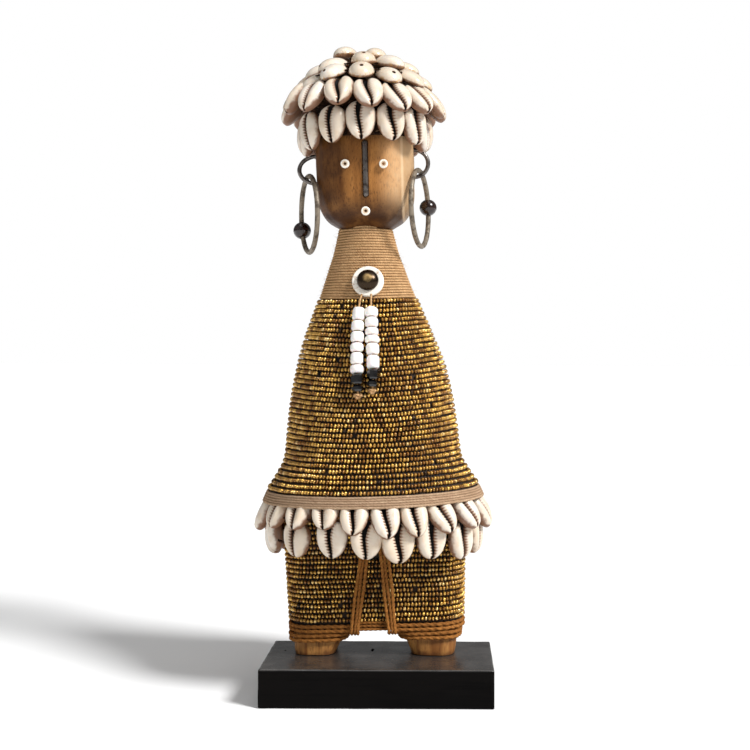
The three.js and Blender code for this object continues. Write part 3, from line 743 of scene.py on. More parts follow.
def twineTree():
    # Two-ply twine along every line, its plies turning a whole number of times; with loose fibres
    tree, given, result = geometryTree("woundTwine", [
        ("Thickness", number, 0.0013), ("Turn Length", number, 0.004), ("Ply", number, 0.3),
        ("Step", number, 0.0006), ("Stray Density", number, 0.0), ("Stray Fibre", "NodeSocketObject", None),
        ("Material", "NodeSocketMaterial", None)])
    line = addNode(tree, "GeometryNodeMeshToCurve", {"Mesh": given["Geometry"]}).outputs[0]
    line = addNode(tree, "GeometryNodeResampleCurve", {"Curve": line, "Length": given["Step"]},
                   mode="LENGTH").outputs[0]
    # one random number for each winding
    which = addNode(tree, "GeometryNodeCurveOfPoint").outputs["Curve Index"]
    strand = addNode(tree, "FunctionNodeRandomValue", {"ID": which, "Seed": 5}, data_type="FLOAT").outputs
    line = store(tree, line, "strand", pick(strand, "Value"))
    part = addNode(tree, "GeometryNodeSplineParameter").outputs
    length = addNode(tree, "GeometryNodeSplineLength").outputs["Length"]
    turns = maths(tree, "ROUND", maths(tree, "DIVIDE", length, given["Turn Length"]))
    angle = maths(tree, "MULTIPLY", maths(tree, "MULTIPLY", part["Factor"], turns), 2 * math.pi)
    line = store(tree, line, "along", part["Length"])
    line = addNode(tree, "GeometryNodeSetCurveTilt", {"Curve": line, "Tilt": angle}).outputs[0]
    section = addNode(tree, "GeometryNodeCurvePrimitiveCircle", {"Resolution": 10, "Radius": 1.0},
                      mode="RADIUS").outputs[0]
    position = addNode(tree, "GeometryNodeInputPosition").outputs[0]
    section = store(tree, section, "lay", position, "FLOAT_VECTOR")
    # the section has a waist, which makes the groove between the two plies
    across = addNode(tree, "ShaderNodeSeparateXYZ", {0: position}).outputs[0]
    groove = maths(tree, "SUBTRACT", 1.0, maths(tree, "MULTIPLY", across, across))
    waist = maths(tree, "SUBTRACT", 1.0, maths(tree, "MULTIPLY", groove, given["Ply"]))
    half = maths(tree, "MULTIPLY", given["Thickness"], 0.5)
    shaped = resized(tree, position, maths(tree, "MULTIPLY", waist, half))
    section = addNode(tree, "GeometryNodeSetPosition", {"Geometry": section, "Position": shaped}).outputs[0]
    wound = addNode(tree, "GeometryNodeCurveToMesh", {"Curve": line, "Profile Curve": section,
                                                      "Fill Caps": True}).outputs[0]
    wound = addNode(tree, "GeometryNodeSetShadeSmooth", {"Geometry": wound}).outputs[0]
    loose = strayFibres(tree, wound, given["Stray Fibre"], given["Stray Density"], 11)
    both = addNode(tree, "GeometryNodeJoinGeometry", {"Geometry": wound})
    tree.links.new(loose, both.inputs[0])
    return endTree(tree, both.outputs[0], given["Material"], result)


def beadTree():
    # Seed beads strung along every line, a little uneven, a few of them missing
    tree, given, result = geometryTree("strungBeads", [
        ("Pitch", number, 0.00172), ("Missing", number, 0.004), ("Tilt", number, 0.2),
        ("Uneven", number, 0.00012), ("Bead", "NodeSocketObject", None),
        ("Material", "NodeSocketMaterial", None)])
    line = addNode(tree, "GeometryNodeMeshToCurve", {"Mesh": given["Geometry"]}).outputs[0]
    strung = addNode(tree, "GeometryNodeCurveToPoints", {"Curve": line, "Length": given["Pitch"]},
                     mode="LENGTH").outputs
    gone = addNode(tree, "FunctionNodeRandomValue", {"Probability": given["Missing"], "Seed": 3},
                   data_type="BOOLEAN").outputs[3]
    points = addNode(tree, "GeometryNodeDeleteGeometry", {"Geometry": strung["Points"],
                                                          "Selection": gone}).outputs[0]
    offset = resized(tree, randomVector(tree, (-1, -1, -1), (1, 1, 1), 4), given["Uneven"])
    points = addNode(tree, "GeometryNodeSetPosition", {"Geometry": points, "Offset": offset}).outputs[0]
    lean = resized(tree, randomVector(tree, (-1, -1, -20), (1, 1, 20), 6), given["Tilt"])
    facing = addNode(tree, "FunctionNodeAlignRotationToVector", {"Vector": strung["Tangent"]},
                     axis="Z").outputs[0]
    size = randomVector(tree, (0.93, 0.93, 0.86), (1.05, 1.05, 1.06), 7)
    placed = setOut(tree, points, shapeOf(tree, given["Bead"]), turned(tree, facing, lean), size)
    tone = addNode(tree, "FunctionNodeRandomValue", {"Seed": 8}, data_type="FLOAT").outputs[1]
    placed = store(tree, placed, "tone", tone, domain="INSTANCE")
    return endTree(tree, placed, given["Material"], result, smooth=True)


def shellTree():
    # A shell on every point: which one, how it is turned and its size are written on the point
    tree, given, result = geometryTree("sewnShells", [
        ("Shells", "NodeSocketCollection", None), ("Material", "NodeSocketMaterial", None)])

    def read(name, kind):
        return addNode(tree, "GeometryNodeInputNamedAttribute", {"Name": name}, data_type=kind).outputs[0]

    kinds = addNode(tree, "GeometryNodeCollectionInfo", {"Collection": given["Shells"], "Separate Children": True,
                                                         "Reset Children": True}).outputs[0]
    turn = addNode(tree, "FunctionNodeEulerToRotation", {0: read("turn", "FLOAT_VECTOR")}).outputs[0]
    sewn = setOut(tree, given["Geometry"], kinds, turn, read("size", "FLOAT_VECTOR"),
                  {"Pick Instance": True, "Instance Index": read("kind", "INT")})
    return endTree(tree, sewn, given["Material"], result)


def fringeTree():
    # Loose fibres over a matted surface, which stays as it is
    tree, given, result = geometryTree("mattedFibres", [
        ("Stray Density", number, 0.0), ("Stray Fibre", "NodeSocketObject", None),
        ("Material", "NodeSocketMaterial", None)])
    loose = strayFibres(tree, given["Geometry"], given["Stray Fibre"], given["Stray Density"], 21)
    return endTree(tree, loose, given["Material"], result)


def fibreShape(name, length, thickness, curl):
    # One loose fibre: three short bent lengths, standing up from the origin
    rings = []
    for i in range(4):
        f = i / 3
        middle = Vector((curl * length * f * f, curl * 0.4 * length * math.sin(3 * f), length * f))
        rings.append([middle + Vector((math.cos(a), math.sin(a), 0)) * thickness / 2 * (1 - 0.7 * f)
                      for a in (0, 2 * math.pi / 3, 4 * math.pi / 3)])
    return loft(name, rings, plinthFrame)


def beadShape():
    # A round seed bead along the local Z axis, closed by a point at both ends, near its neighbours
    bead = {"radius": 1.05, "length": 1.52, "sides": 8}
    r, half, n = bead["radius"], bead["length"] / 2, bead["sides"]
    vertices, faces = [], []
    for radius, z in ((0.8 * r, -0.6 * half), (r, 0.0), (0.8 * r, 0.6 * half)):
        for i in range(n):
            a = 2 * math.pi * i / n
            vertices.append(Vector((radius * math.cos(a), radius * math.sin(a), z)))
    vertices += [Vector((0, 0, -half)), Vector((0, 0, half))]
    for i in range(n):
        j = (i + 1) % n
        faces += [(k * n + i, k * n + j, (k + 1) * n + j, (k + 1) * n + i) for k in range(2)]
        faces += [(3 * n, i, j), (3 * n + 1, 2 * n + i, 2 * n + j)]
    return makePiece("seedBead", vertices, faces, plinthFrame)


winding = twineTree()
looseFibre = fibreShape("jute_fibre", length=1.7, thickness=0.09, curl=0.5)


def windTwine(name, lines, closed, thickness, turnLength, material, stray=0.0, step=0.6, ply=0.3):
    # ply is how deep the groove between the two plies is, as a share of the thickness
    piece = paths(name, lines, closed)
    return grow(piece, winding, {"Thickness": thickness * mm, "Turn Length": turnLength * mm, "Ply": ply,
                                 "Step": step * mm, "Stray Density": stray, "Stray Fibre": looseFibre,
                                 "Material": material})


# Pendant: two cords of twine with white and black beads, hanging from under the medallion

pendant = {
    "left": {"x": [-2.6, -3.5, -3.7, -3.3],  # from the top down; beads are [diameter, length]
             "white": [[5.6, 5.9], [5.8, 4.6], [6.0, 4.9], [6.0, 3.9], [5.6, 5.3], [6.1, 3.7]],
             "black": [[5.7, 4.7], [5.4, 2.9]], "knot": (3.4, 1.9)},
    "right": {"x": [2.8, 3.1, 3.6, 3.1],
              "white": [[6.0, 4.5], [6.0, 4.4], [6.0, 3.3], [6.6, 3.2], [6.0, 5.0], [5.8, 6.0]],
              "black": [[5.6, 4.6], [5.3, 2.9]], "knot": (3.0, 1.8)},
    "cord": 1.1, "slack": 0.9, "top": 168.5, "firstBead": 162.3, "tail": 2.6, "standOff": 3.6, "between": 0.3,
    "knotCord": 1.2, "knotLift": 1.0,
}


def chestPoint(x, z):
    # In front of the beaded chest
    width, middle = readAlong(body["outline"], z)
    half, deep = width + body["gap"] + body["bead"], body["depth"] * width + body["gap"] + body["bead"]
    return Vector((x, -deep * math.sqrt(1 - ((x - middle) / half) ** 2) - pendant["standOff"], z))


def cordRoute(facts, perSpan=8):
    beads = sum(length + pendant["between"] for _, length in facts["white"] + facts["black"])
    top, bottom = pendant["firstBead"] + 1, pendant["firstBead"] - beads - pendant["tail"]
    knots = [chestPoint(facts["x"][0] * 0.8 + 0.5, pendant["top"]) + Vector((0, 0.5, 0))]
    knots += [chestPoint(x, top + (bottom - top) * i / 3) for i, x in enumerate(facts["x"])]
    ends = [knots[0] * 2 - knots[1]] + knots + [knots[-1] * 2 - knots[-2]]
    route = []
    for a, b, c, d in zip(ends, ends[1:], ends[2:], ends[3:]):
        for i in range(perSpan):
            f = i / perSpan
            route.append(0.5 * (2 * b + (c - a) * f + (2 * a - 5 * b + 4 * c - d) * f ** 2
                                + (3 * b - a - 3 * c + d) * f ** 3))
    return route + [knots[-1]]


def onRoute(route, z):
    k = next(i for i in range(len(route) - 1) if route[i + 1].z <= z)
    f = (route[k].z - z) / (route[k].z - route[k + 1].z)
    return route[k].lerp(route[k + 1], f), (route[k + 1] - route[k]).normalized()


def threaded(name, diameter, length, hole, point, along, faceted, seed):
    chance = random.Random(seed)
    r, half, h = diameter / 2, length / 2, hole / 2
    sides, corner = (9, 0.8) if faceted else (28, min(1.35, half * 0.75))
    profile = [[h, half * 0.86], [h + 0.25, half * 0.98]]
    for i in range(2 if faceted else 7):
        a = math.pi / 2 * (1 - i / (1 if faceted else 6))
        profile.append([r - corner * (1 - math.cos(a)), half - corner * (1 - math.sin(a))])
    profile += [[radius, -z] for radius, z in reversed(profile)]
    turn = Vector((0, 0, 1)).rotation_difference(-along).to_matrix().to_4x4()
    where = Matrix.Translation(point) @ turn @ Matrix.Rotation(chance.uniform(0, 1), 4, "Z")
    bead = lathe(name, profile, where, sides, closed=True, sharpDeg=24 if faceted else 70)
    last = len(profile) - 1
    markPoints(bead, "rim", [0.55 if min(k, last - k) < 3 else 0.0
                             for k in range(last + 1) for _ in range(sides)])
    if not faceted:
        roughen(bead, 0.16, 2.4, seed)
    return bead


def knotLine(centre, width, height):
    line = []
    for i in range(60):
        t = 2 * math.pi * i / 60
        line.append(centre + Vector(((math.sin(t) + 2 * math.sin(2 * t)) * width / 6,
                                     -math.sin(3 * t) * 0.75, (math.cos(t) - 2 * math.cos(2 * t)) * height / 6)))
    return line


for side in ("left", "right"):
    facts = pendant[side]
    route = cordRoute(facts)
    cord = windTwine(f"pendant_cord_{side}", [route], False, pendant["cord"], 3.4, finishes["fineTwine"], step=0.5)
    z, hole = pendant["firstBead"], pendant["cord"] + pendant["slack"]
    strungPieces = []
    for kind in ("white", "black"):
        for i, (diameter, length) in enumerate(facts[kind]):
            point, along = onRoute(route, z - length / 2)
            name = f"pendant_{kind}_{side}_{i + 1}"
            bead = threaded(name, diameter, length, hole, point, along, kind == "black", 31 + len(strungPieces))
            dress(bead, f"{kind}Glass", f"{kind}_glass", name)
            strungPieces.append(bead)
            z -= length + pendant["between"]
    tied = knotLine(route[-1] + Vector((0, 0, pendant["knotLift"])), *facts["knot"])
    knot = windTwine(f"pendant_knot_{side}", [tied], True, pendant["knotCord"], 3.0, finishes["fineTwine"],
                     stray=4.0e5, step=0.45)
    put(knot, "fine_twine", f"pendant_cord_{side}")
    put(cord, "fine_twine", f"pendant_cord_{side}")
    world = [dollFrame @ p for p in route]
print("pendant strung")

# Plinth: a stained block with softened, rubbed edges

plinth = {"width": 105.8, "depth": 56.0, "height": 17.4, "soft": 0.9, "spacing": 2.4,
          "gouges": [(-3.8, 9.0, 8.5, 2.2), (-45.2, 7.3, 2.6, 1.6)]}


def plinthLines(half):
    near = [0.0, 0.3, 0.7, 1.2, 2.0]
    count = round((2 * half - 4) / plinth["spacing"])
    middle = [-half + 2 + (2 * half - 4) * i / count for i in range(1, count)]
    return [-half + n for n in near] + middle + [half - n for n in reversed(near)]


def plinthBlock():
    half = Vector((plinth["width"] / 2, plinth["depth"] / 2, plinth["height"] / 2))
    lines = [plinthLines(h) for h in half]
    index, vertices, faces, wear = {}, [], [], []

    def corner(a, b, c):
        key = (a, b, c)
        if key not in index:
            p = Vector((lines[0][a], lines[1][b], lines[2][c]))
            soft = plinth["soft"] * (0.8 + 0.5 * noise.noise(p * 0.12) + 0.3 * noise.noise(p * 0.6))
            inner = Vector([max(-h + soft, min(h - soft, v)) for v, h in zip(p, half)])
            away = p - inner
            near = sorted(h - abs(v) for v, h in zip(p, half))
            index[key] = len(vertices)
            wear.append(max(0.0, 1.0 - near[1] / 1.4) * 0.62)
            rounded = inner + away.normalized() * soft if away.length > 1e-6 else p
            vertices.append(rounded + Vector((0, 0, half.z)))
        return index[key]

    for axis in range(3):
        u, v = (axis + 1) % 3, (axis + 2) % 3
        for end in (0, len(lines[axis]) - 1):
            for i in range(len(lines[u]) - 1):
                for j in range(len(lines[v]) - 1):
                    quad = []
                    for di, dj in ((0, 0), (1, 0), (1, 1), (0, 1)):
                        key = [0, 0, 0]
                        key[axis], key[u], key[v] = end, i + di, j + dj
                        quad.append(corner(*key))
                    faces.append(quad)
    block = makePiece("plinth", vertices, faces, plinthFrame)
    markPoints(block, "wear", wear)
    for x, y, long, wide in plinth["gouges"]:
        # leaf-shaped nicks, pointed at both ends
        outline = [(math.sin(math.pi * f) * wide * side / 2, (f - 0.5) * long)
                   for side, run in ((1, steps(0, 1, 6)), (-1, steps(1, 0, 6))) for f in run[:-1]]
        top = [Vector((x + a, y + b, plinth["height"] + 1)) for a, b in outline]
        bottom = [Vector((x + a * 0.3, y + b * 0.5, plinth["height"] - 1.4)) for a, b in outline]
        carve(block, loft("gouge", [bottom, top], plinthFrame), "DIFFERENCE")
    block.data.shade_smooth()
    block.data.set_sharp_from_angle(angle=math.radians(40))
    return block


dress(plinthBlock(), "plinth", "plinth_wood", "plinth")
print("plinth made")

# Carved figure: body, hips, head, legs and feet in one piece of wood

leftLeg = [[-1.6, -28.6, 8.9, 11.2], [1.8, -28.4, 9.8, 12.0], [8.0, -26.9, 11.9, 12.3], [15.4, -23.2, 16.2, 12.2]]
rightLeg = [[-1.6, 26.9, 9.9, 11.2], [1.8, 26.9, 10.8, 12.0], [8.0, 25.8, 12.8, 12.3], [15.4, 22.5, 17.0, 12.2]]
legSquareness = 3.2
head = {
    "outline": [[199.6, 10.2, 9.4], [201.3, 13.0, 11.8], [204.7, 18.2, 16.0], [209.2, 21.3, 18.6],
                [214.6, 22.8, 19.7], [222.0, 23.1, 20.0], [246.0, 23.1, 20.0], [254.0, 21.8, 19.0],
                [258.0, 17.0, 15.0]],
    "widest": 23.1, "squareness": 3.1, "facets": [(54, 24.2), (-56, 24.4)],
}
ear = {"wire": 2.0, "hoopWire": 2.4, "hoopRadius": 18.05, "surface": 23.1, "inside": 20.6}
ears = {
    "left": {"side": -1, "top": 236.3, "bottom": 223.2, "reach": 8.5, "hoopX": -27.4, "hoopZ": 208.7, "turn": 18.5,
             "bead": 8.6, "beadAngle": -19},
    "right": {"side": 1, "top": 238.3, "bottom": 225.3, "reach": 6.8, "hoopX": 25.5, "hoopZ": 210.3, "turn": 12,
              "bead": 8.4, "beadAngle": 8},
}
face = {"front": 20.0, "eyes": [(-8.1, 228.9), (9.6, 228.5)], "mouth": (0.9, 207.0),
        "ring": 4.1, "hole": 1.3, "thick": 1.8, "noseX": 1.1, "noseTop": 238.6, "noseBottom": 214.8, "rod": 2.5}


def legBlock(outline):
    rings = [levelRing(z, w, d, legSquareness, x, 56)
             for z in steps(*span(outline), 18) for x, w, d in [readAlong(outline, z)]]
    return loft("leg", rings)


def headBlock():
    # The two vertical arrises beside the face are left from the knife
    rings = []
    for z in steps(*span(head["outline"]), 64):
        w, d = readAlong(head["outline"], z)
        ring = levelRing(z, w, d, head["squareness"], 0.0, 112)
        for angle, reach in head["facets"]:
            out = Vector((math.sin(math.radians(angle)), -math.cos(math.radians(angle)), 0))
            limit = reach * w / head["widest"]
            for p in ring:
                p -= out * max(0.0, p.dot(out) - limit)
        rings.append(ring)
    return loft("head", rings)


def earLine(facts):
    middle, half = (facts["top"] + facts["bottom"]) / 2, (facts["top"] - facts["bottom"]) / 2
    line = [Vector((facts["side"] * ear["inside"], 0, facts["top"]))]
    for t in steps(math.pi / 2, -math.pi / 2, 28):
        out = ear["surface"] + facts["reach"] * math.cos(t)
        line.append(Vector((facts["side"] * out, 0, middle + half * math.sin(t))))
    return line + [Vector((facts["side"] * ear["inside"], 0, facts["bottom"]))]


def rodOf(name, diameter):
    # The rod's ends are rounded
    r = diameter / 2
    profile = [(0.05, -r), (0.6 * r, -0.8 * r), (0.92 * r, -0.4 * r), (r, 0)]
    length = face["noseTop"] - face["noseBottom"]
    profile += [(r, length * f) for f in (0.2, 0.4, 0.6, 0.8, 1.0)]
    profile += [(0.92 * r, length + 0.4 * r), (0.6 * r, length + 0.8 * r), (0.05, length + r)]
    foot = Matrix.Translation((face["noseX"], -face["front"], face["noseBottom"]))
    return lathe(name, profile, foot, 20)


underHem = [bodyRing(body["hem"] - 0.5, -body["rebate"] - 2), bodyRing(body["tuck"], -body["rebate"]),
            bodyRing(body["tuck"] + 0.3)]
aboveHem = [bodyRing(z) for z in steps(body["smoothFrom"], body["outline"][-1][0], 60)]
figure = loft("carved_figure", underHem + aboveHem)
carve(figure, loft("hips", [hipsRing(z) for z in steps(hips["bottom"], hips["top"], 6)]), "UNION")
for outline in (leftLeg, rightLeg):
    carve(figure, legBlock(outline), "UNION")
carve(figure, headBlock(), "UNION")
# the feet are cut level, a gap above the plinth
onPlinth = Matrix.Translation((stance["x"], stance["y"], stance["plinthHeight"] + body["gap"]))
carve(figure, loft("slab", slabRings(70, 45, -12.0, 0.0), plinthFrame @ onPlinth), "DIFFERENCE")
carve(figure, rodOf("groove", face["rod"] + 2 * body["gap"]), "DIFFERENCE")
for facts in ears.values():
    carve(figure, tube("drill", earLine(facts), ear["wire"] / 2 + body["gap"], 12), "DIFFERENCE")
figure.data.shade_smooth()
figure.data.set_sharp_from_angle(angle=math.radians(14))
roughen(figure, 0.22, 9.0)
for label in ("headWood", "hiddenWood", "footWood"):
    figure.data.materials.append(finishes[label])
toDoll = dollFrame.inverted()
bare = {"headFrom": 199.6, "footTo": 12.7}
for polygon in figure.data.polygons:
    z = (toDoll @ polygon.center).z
    polygon.material_index = 0 if z > bare["headFrom"] else 2 if z < bare["footTo"] else 1
put(figure, "figure_wood", "carved_figure")
print("figure carved")

# Rows of seed beads

rows = {"top": 165.4, "bottom": 79.7, "count": 39, "split": 22, "pitch": 1.68, "grow": 1.25, "wander": 0.26,
        "dip":[[79.7, 0.0], [88.0, 0.8], [100.0, 1.8], [118.0, 2.8], [147.0, 2.8], [152.0, 2.1], [165.4, 1.1]],
        "trouserTop": 67.6, "trouserBottom": 17.3, "trouserCount": 23}
beads = {"tree": beadTree(), "shape": beadShape()}


def wander(ring, amount, seed):
    # No row is quite level
    for p in ring:
        p.z += amount * noise.noise(Vector((p.x * 0.07, p.y * 0.07, seed * 3.7)))
        p.z += 0.5 * amount * noise.noise(Vector((p.x * 0.21, p.y * 0.21, seed * 2.3)))
    return ring


def stringBeads(name, lines, missing):
    # every row starts somewhere else, so that its beads don't line up with the next row's
    chance = random.Random(name)
    starts = [chance.randrange(len(line)) for line in lines]
    piece = paths(name, [line[k:] + line[:k] for line, k in zip(lines, starts)], True)
    return grow(piece, beads["tree"], {"Pitch": rows["pitch"] * mm, "Missing": missing, "Bead": beads["shape"],
                                       "Material": finishes["goldBead"]})


heights = steps(rows["top"], rows["bottom"], rows["count"] - 1)
torso = [wander(bodyRing(z, rows["grow"], readAlong(rows["dip"], z)[0]), rows["wander"], i)
         for i, z in enumerate(heights)]
put(stringBeads("torso_beads_upper", torso[:rows["split"]], 0.005), "seed_beads", "torso_beads")
put(stringBeads("torso_beads_lower", torso[rows["split"]:], 0.004), "seed_beads", "torso_beads")
trousers = [wander(hipsRing(z, rows["grow"]), rows["wander"], 60 + i)
            for i, z in enumerate(steps(rows["trouserBottom"], rows["trouserTop"], rows["trouserCount"] - 1))]
put(stringBeads("trouser_beads", trousers, 0.003), "seed_beads", "trouser_beads")
print("beads strung")

# Windings of twine

neck = {"from": 166.5, "upTo": 201.5, "turns": 26.9, "pitch": 1.3, "thickness": 1.38, "dip": 1.2, "perTurn": 90}
line = []
for i in range(int(neck["turns"] * neck["perTurn"]) + 1):
    turn = i / neck["perTurn"]
    t = 2 * math.pi * turn
    dip = neck["dip"] * (1 - turn / neck["turns"])
    z = neck["from"] + neck["pitch"] * turn + dip * math.sin(t) ** 2
    line.append(bodyPoint(min(z, neck["upTo"]), t, body["gap"] + neck["thickness"] / 2))
put(windTwine("neck_twine", [line], False, neck["thickness"], 2.4, finishes["fineTwine"], stray=9.0e4, step=0.6,
              ply=0.16), "fine_twine", "neck_twine")

hemBand = {"rows": [73.55, 74.6, 75.65, 76.7, 77.7], "thickness": 1.3}
put(windTwine("hem_band", [wander(bodyRing(z, body["gap"] + hemBand["thickness"] / 2), 0.1, 90 + i)
                           for i, z in enumerate(hemBand["rows"])],
              True, hemBand["thickness"], 3.2, finishes["bandTwine"], stray=2.5e4, step=0.65, ply=0.14),
    "fine_twine", "hem_band")

# The two lower windings of a cuff go round the leg, the two upper ones round the outer end of the hips
cuffs = {"legRows": [8.3, 10.35], "hipRows": [12.45, 14.5], "thickness": 2.15, "ends": {"left": -10.3, "right": 9.7}}


def legWinding(z, outline, seed):
    x, w, d = readAlong(outline, z)
    reach = body["gap"] + cuffs["thickness"] / 2
    return wander(levelRing(z, w + reach, d + reach, legSquareness, x, 120), 0.25, seed)


def hipWinding(z, end, seed):
    ring = hipsRing(z, body["gap"] + cuffs["thickness"] / 2)
    outer = [p for p in ring if (p.x - end) * end > 0]
    first = max(range(len(outer)), key=lambda k: (outer[k] - outer[k - 1]).length)
    outer = outer[first:] + outer[:first]
    return wander([Vector((end, outer[0].y, z))] + outer + [Vector((end, outer[-1].y, z))], 0.25, seed)


for side, outline in (("left", leftLeg), ("right", rightLeg)):
    lower = [legWinding(z, outline, 120 + i) for i, z in enumerate(cuffs["legRows"])]
    upper = [hipWinding(z, cuffs["ends"][side], 130 + i) for i, z in enumerate(cuffs["hipRows"])]
    twineFacts = (cuffs["thickness"], 6.4, finishes["brownTwine"], 1.5e4, 0.7)
    cuff = windTwine(f"cuff_{side}", lower, True, *twineFacts)
    addPart(cuff, windTwine(f"cuff_upper_{side}", upper, False, *twineFacts))
    put(cuff, "brown_twine", f"cuff_{side}")

arch = {"rows": (12.9, 14.5, 16.1), "left": -9.5, "right": 8.6, "thickness": 1.6, "standOff": 0.75}
archFront = -(hips["halfDepth"] + body["gap"] + arch["standOff"])
band = [[Vector((x, archFront - 0.12 * math.cos(x / 5), z)) for x in steps(arch["left"], arch["right"], 20)]
        for z in arch["rows"]]
put(windTwine("crotch_band", band, False, arch["thickness"], 4.8, finishes["brownTwine"], stray=2.0e4, step=0.6),
    "brown_twine", "crotch_band")

front = -(hips["halfDepth"] + body["gap"] + body["bead"] + body["gap"])
straps = {"left": [(-1.2, 5.2), (-9.1, 4.9)], "right": [(4.1, 5.8), (8.3, 4.9)], "strand": 1.8, "top": 66.0,
          "bottom": 12.9, "wrap": 1.7}
for side in ("left", "right"):
    (topX, topWide), (lowX, lowWide) = straps[side]
    lines = []
    for k in (-1, 0, 1):
        strand = []
        for f in steps(0.0, 1.0, 40):
            x = topX + (lowX - topX) * f + k * (topWide + (lowWide - topWide) * f - straps["strand"]) / 2
            x += 0.18 * math.sin(9 * f + 2.2 * k)
            y = front - straps["strand"] / 2 - 0.1 * abs(k) - 0.25 * max(0.0, f - 0.93) / 0.07
            strand.append(Vector((x, y, straps["top"] + (straps["bottom"] - straps["top"]) * f)))
        # round the edge of the crotch and in under the block
        last = strand[-1]
        for a in steps(0.25, math.pi / 2, 5):
            strand.append(last + Vector((0, straps["wrap"] * (1 - math.cos(a)), -straps["wrap"] * math.sin(a))))
        strand.append(strand[-1] + Vector((0, 3.0, 0.1)))
        lines.append(strand)
    put(windTwine(f"strap_{side}", lines, False, straps["strand"], 5.2, finishes["brownTwine"], stray=2.5e4,
                  step=0.6), "brown_twine", f"strap_{side}")
print("twine wound")

# Cowries

cowrie = {"halfWidth": 6.7, "halfLength": 8.8, "front": 4.4, "back": 3.2, "teeth": 11}


def openShell(name, seed):
    # Seen from the side with the slit: a narrow toothed lip on the left, a broad ribbed one on the right;
    # the slit gapes towards the upper end, where the right lip falls back
    chance = random.Random(seed)
    lobes = steps(0.0, 1.0, 7)
    slant, flare = chance.uniform(0.24, 0.46), chance.uniform(0.8, 2.0)
    slit, teeth, twist = chance.uniform(0.88, 1.1), chance.uniform(0.5, 0.66), chance.uniform(0.16, 0.26)
    pitch = 1.7 / cowrie["teeth"]
    rowsAt = [(-0.985, 0), (-0.95, 0), (-0.9, 0)]
    for k in range(cowrie["teeth"]):
        rowsAt += [(-0.85 + (k + phase) * pitch, tooth) for phase, tooth in ((0.0, 0.0), (0.36, 1.0), (0.7, 0.8))]
    rowsAt += [(0.87, 0), (0.93, 0), (0.975, 0)]
    rings, cleft, rim = [], [], []
    for t, tooth in rowsAt:
        e = (1 - abs(t) ** (2.5 if t > 0 else 2.15)) ** 0.5
        w = cowrie["halfWidth"] * e * (1 + 0.14 * t)
        high, deep = cowrie["front"] * e ** 0.8, cowrie["back"] * e ** 0.85
        y = cowrie["halfLength"] * t
        low = (1 - t) / 2
        middle = w * (-twist + slant * low ** 2)
        gap = min(slit * (0.25 + 0.75 * e) * (1 + 0.55 * max(0.0, t) ** 1.5), 0.5 * w)
        fall = min(flare * max(0.0, t) ** 1.5, 0.45 * w)
        reach = teeth * tooth * min(1.0, e * 1.4)
        left, right = middle - gap + reach * 0.8, middle + gap + fall - reach * 0.14
        # cleft marks are painted shade: full deep in the slit, less at the lip edges and between the ribs
        ring = [((left + right) / 2, high - 3.4 * e - 0.3, 1.0), (left, high * 0.2, 0.9)]
        for q in lobes:
            x = left + (-w - left) * math.sin(math.pi / 2 * q)
            z = 0.9 * high * math.sin(math.pi * (0.26 + 0.74 * q)) + 0.16 * tooth * max(0.0, 1 - q * 5)
            ring.append((x, z, (0.5 - 0.34 * tooth) if q == 0 else 0.0))
        for k in range(1, 5):
            a = math.pi * k / 5
            ring.append((-w * math.cos(a), -deep * math.sin(a) ** 0.8, 0.0))
        for q in reversed(lobes):
            x = right + (w - right) * math.sin(math.pi / 2 * q)
            rib = 0.28 * tooth * max(0.0, 1 - q * 2.4)
            z = high * (1 - 0.25 * fall / w) * math.sin(math.pi * (0.24 + 0.76 * q)) + rib
            shade = (0.5 - 0.3 * tooth) if q == 0 else max(0.0, 0.15 - 0.35 * q) * (1 - tooth)
            ring.append((x, z, shade))
        ring.append((right, high * 0.2, 0.9))
        rings.append([Vector((x, y, z)) for x, z, _ in ring])
        cleft += [mark for _, _, mark in ring]
        # rim is brown dirt and painted shade: strongest low on the shell's sides and at its ends
        rim += [min(1.0, max(0.0, 1 - z / (0.85 * high)) * 0.85 + max(0.0, abs(t) - 0.8) * 2.0)
                for _, z, _ in ring]
    shell = loft(name, rings, plinthFrame)
    markPoints(shell, "cleft", cleft + [0.5, 0.5])
    markPoints(shell, "rim", rim + [0.8, 0.8])
    markPoints(shell, "stain", [0.0] * len(shell.data.vertices))
    return shell


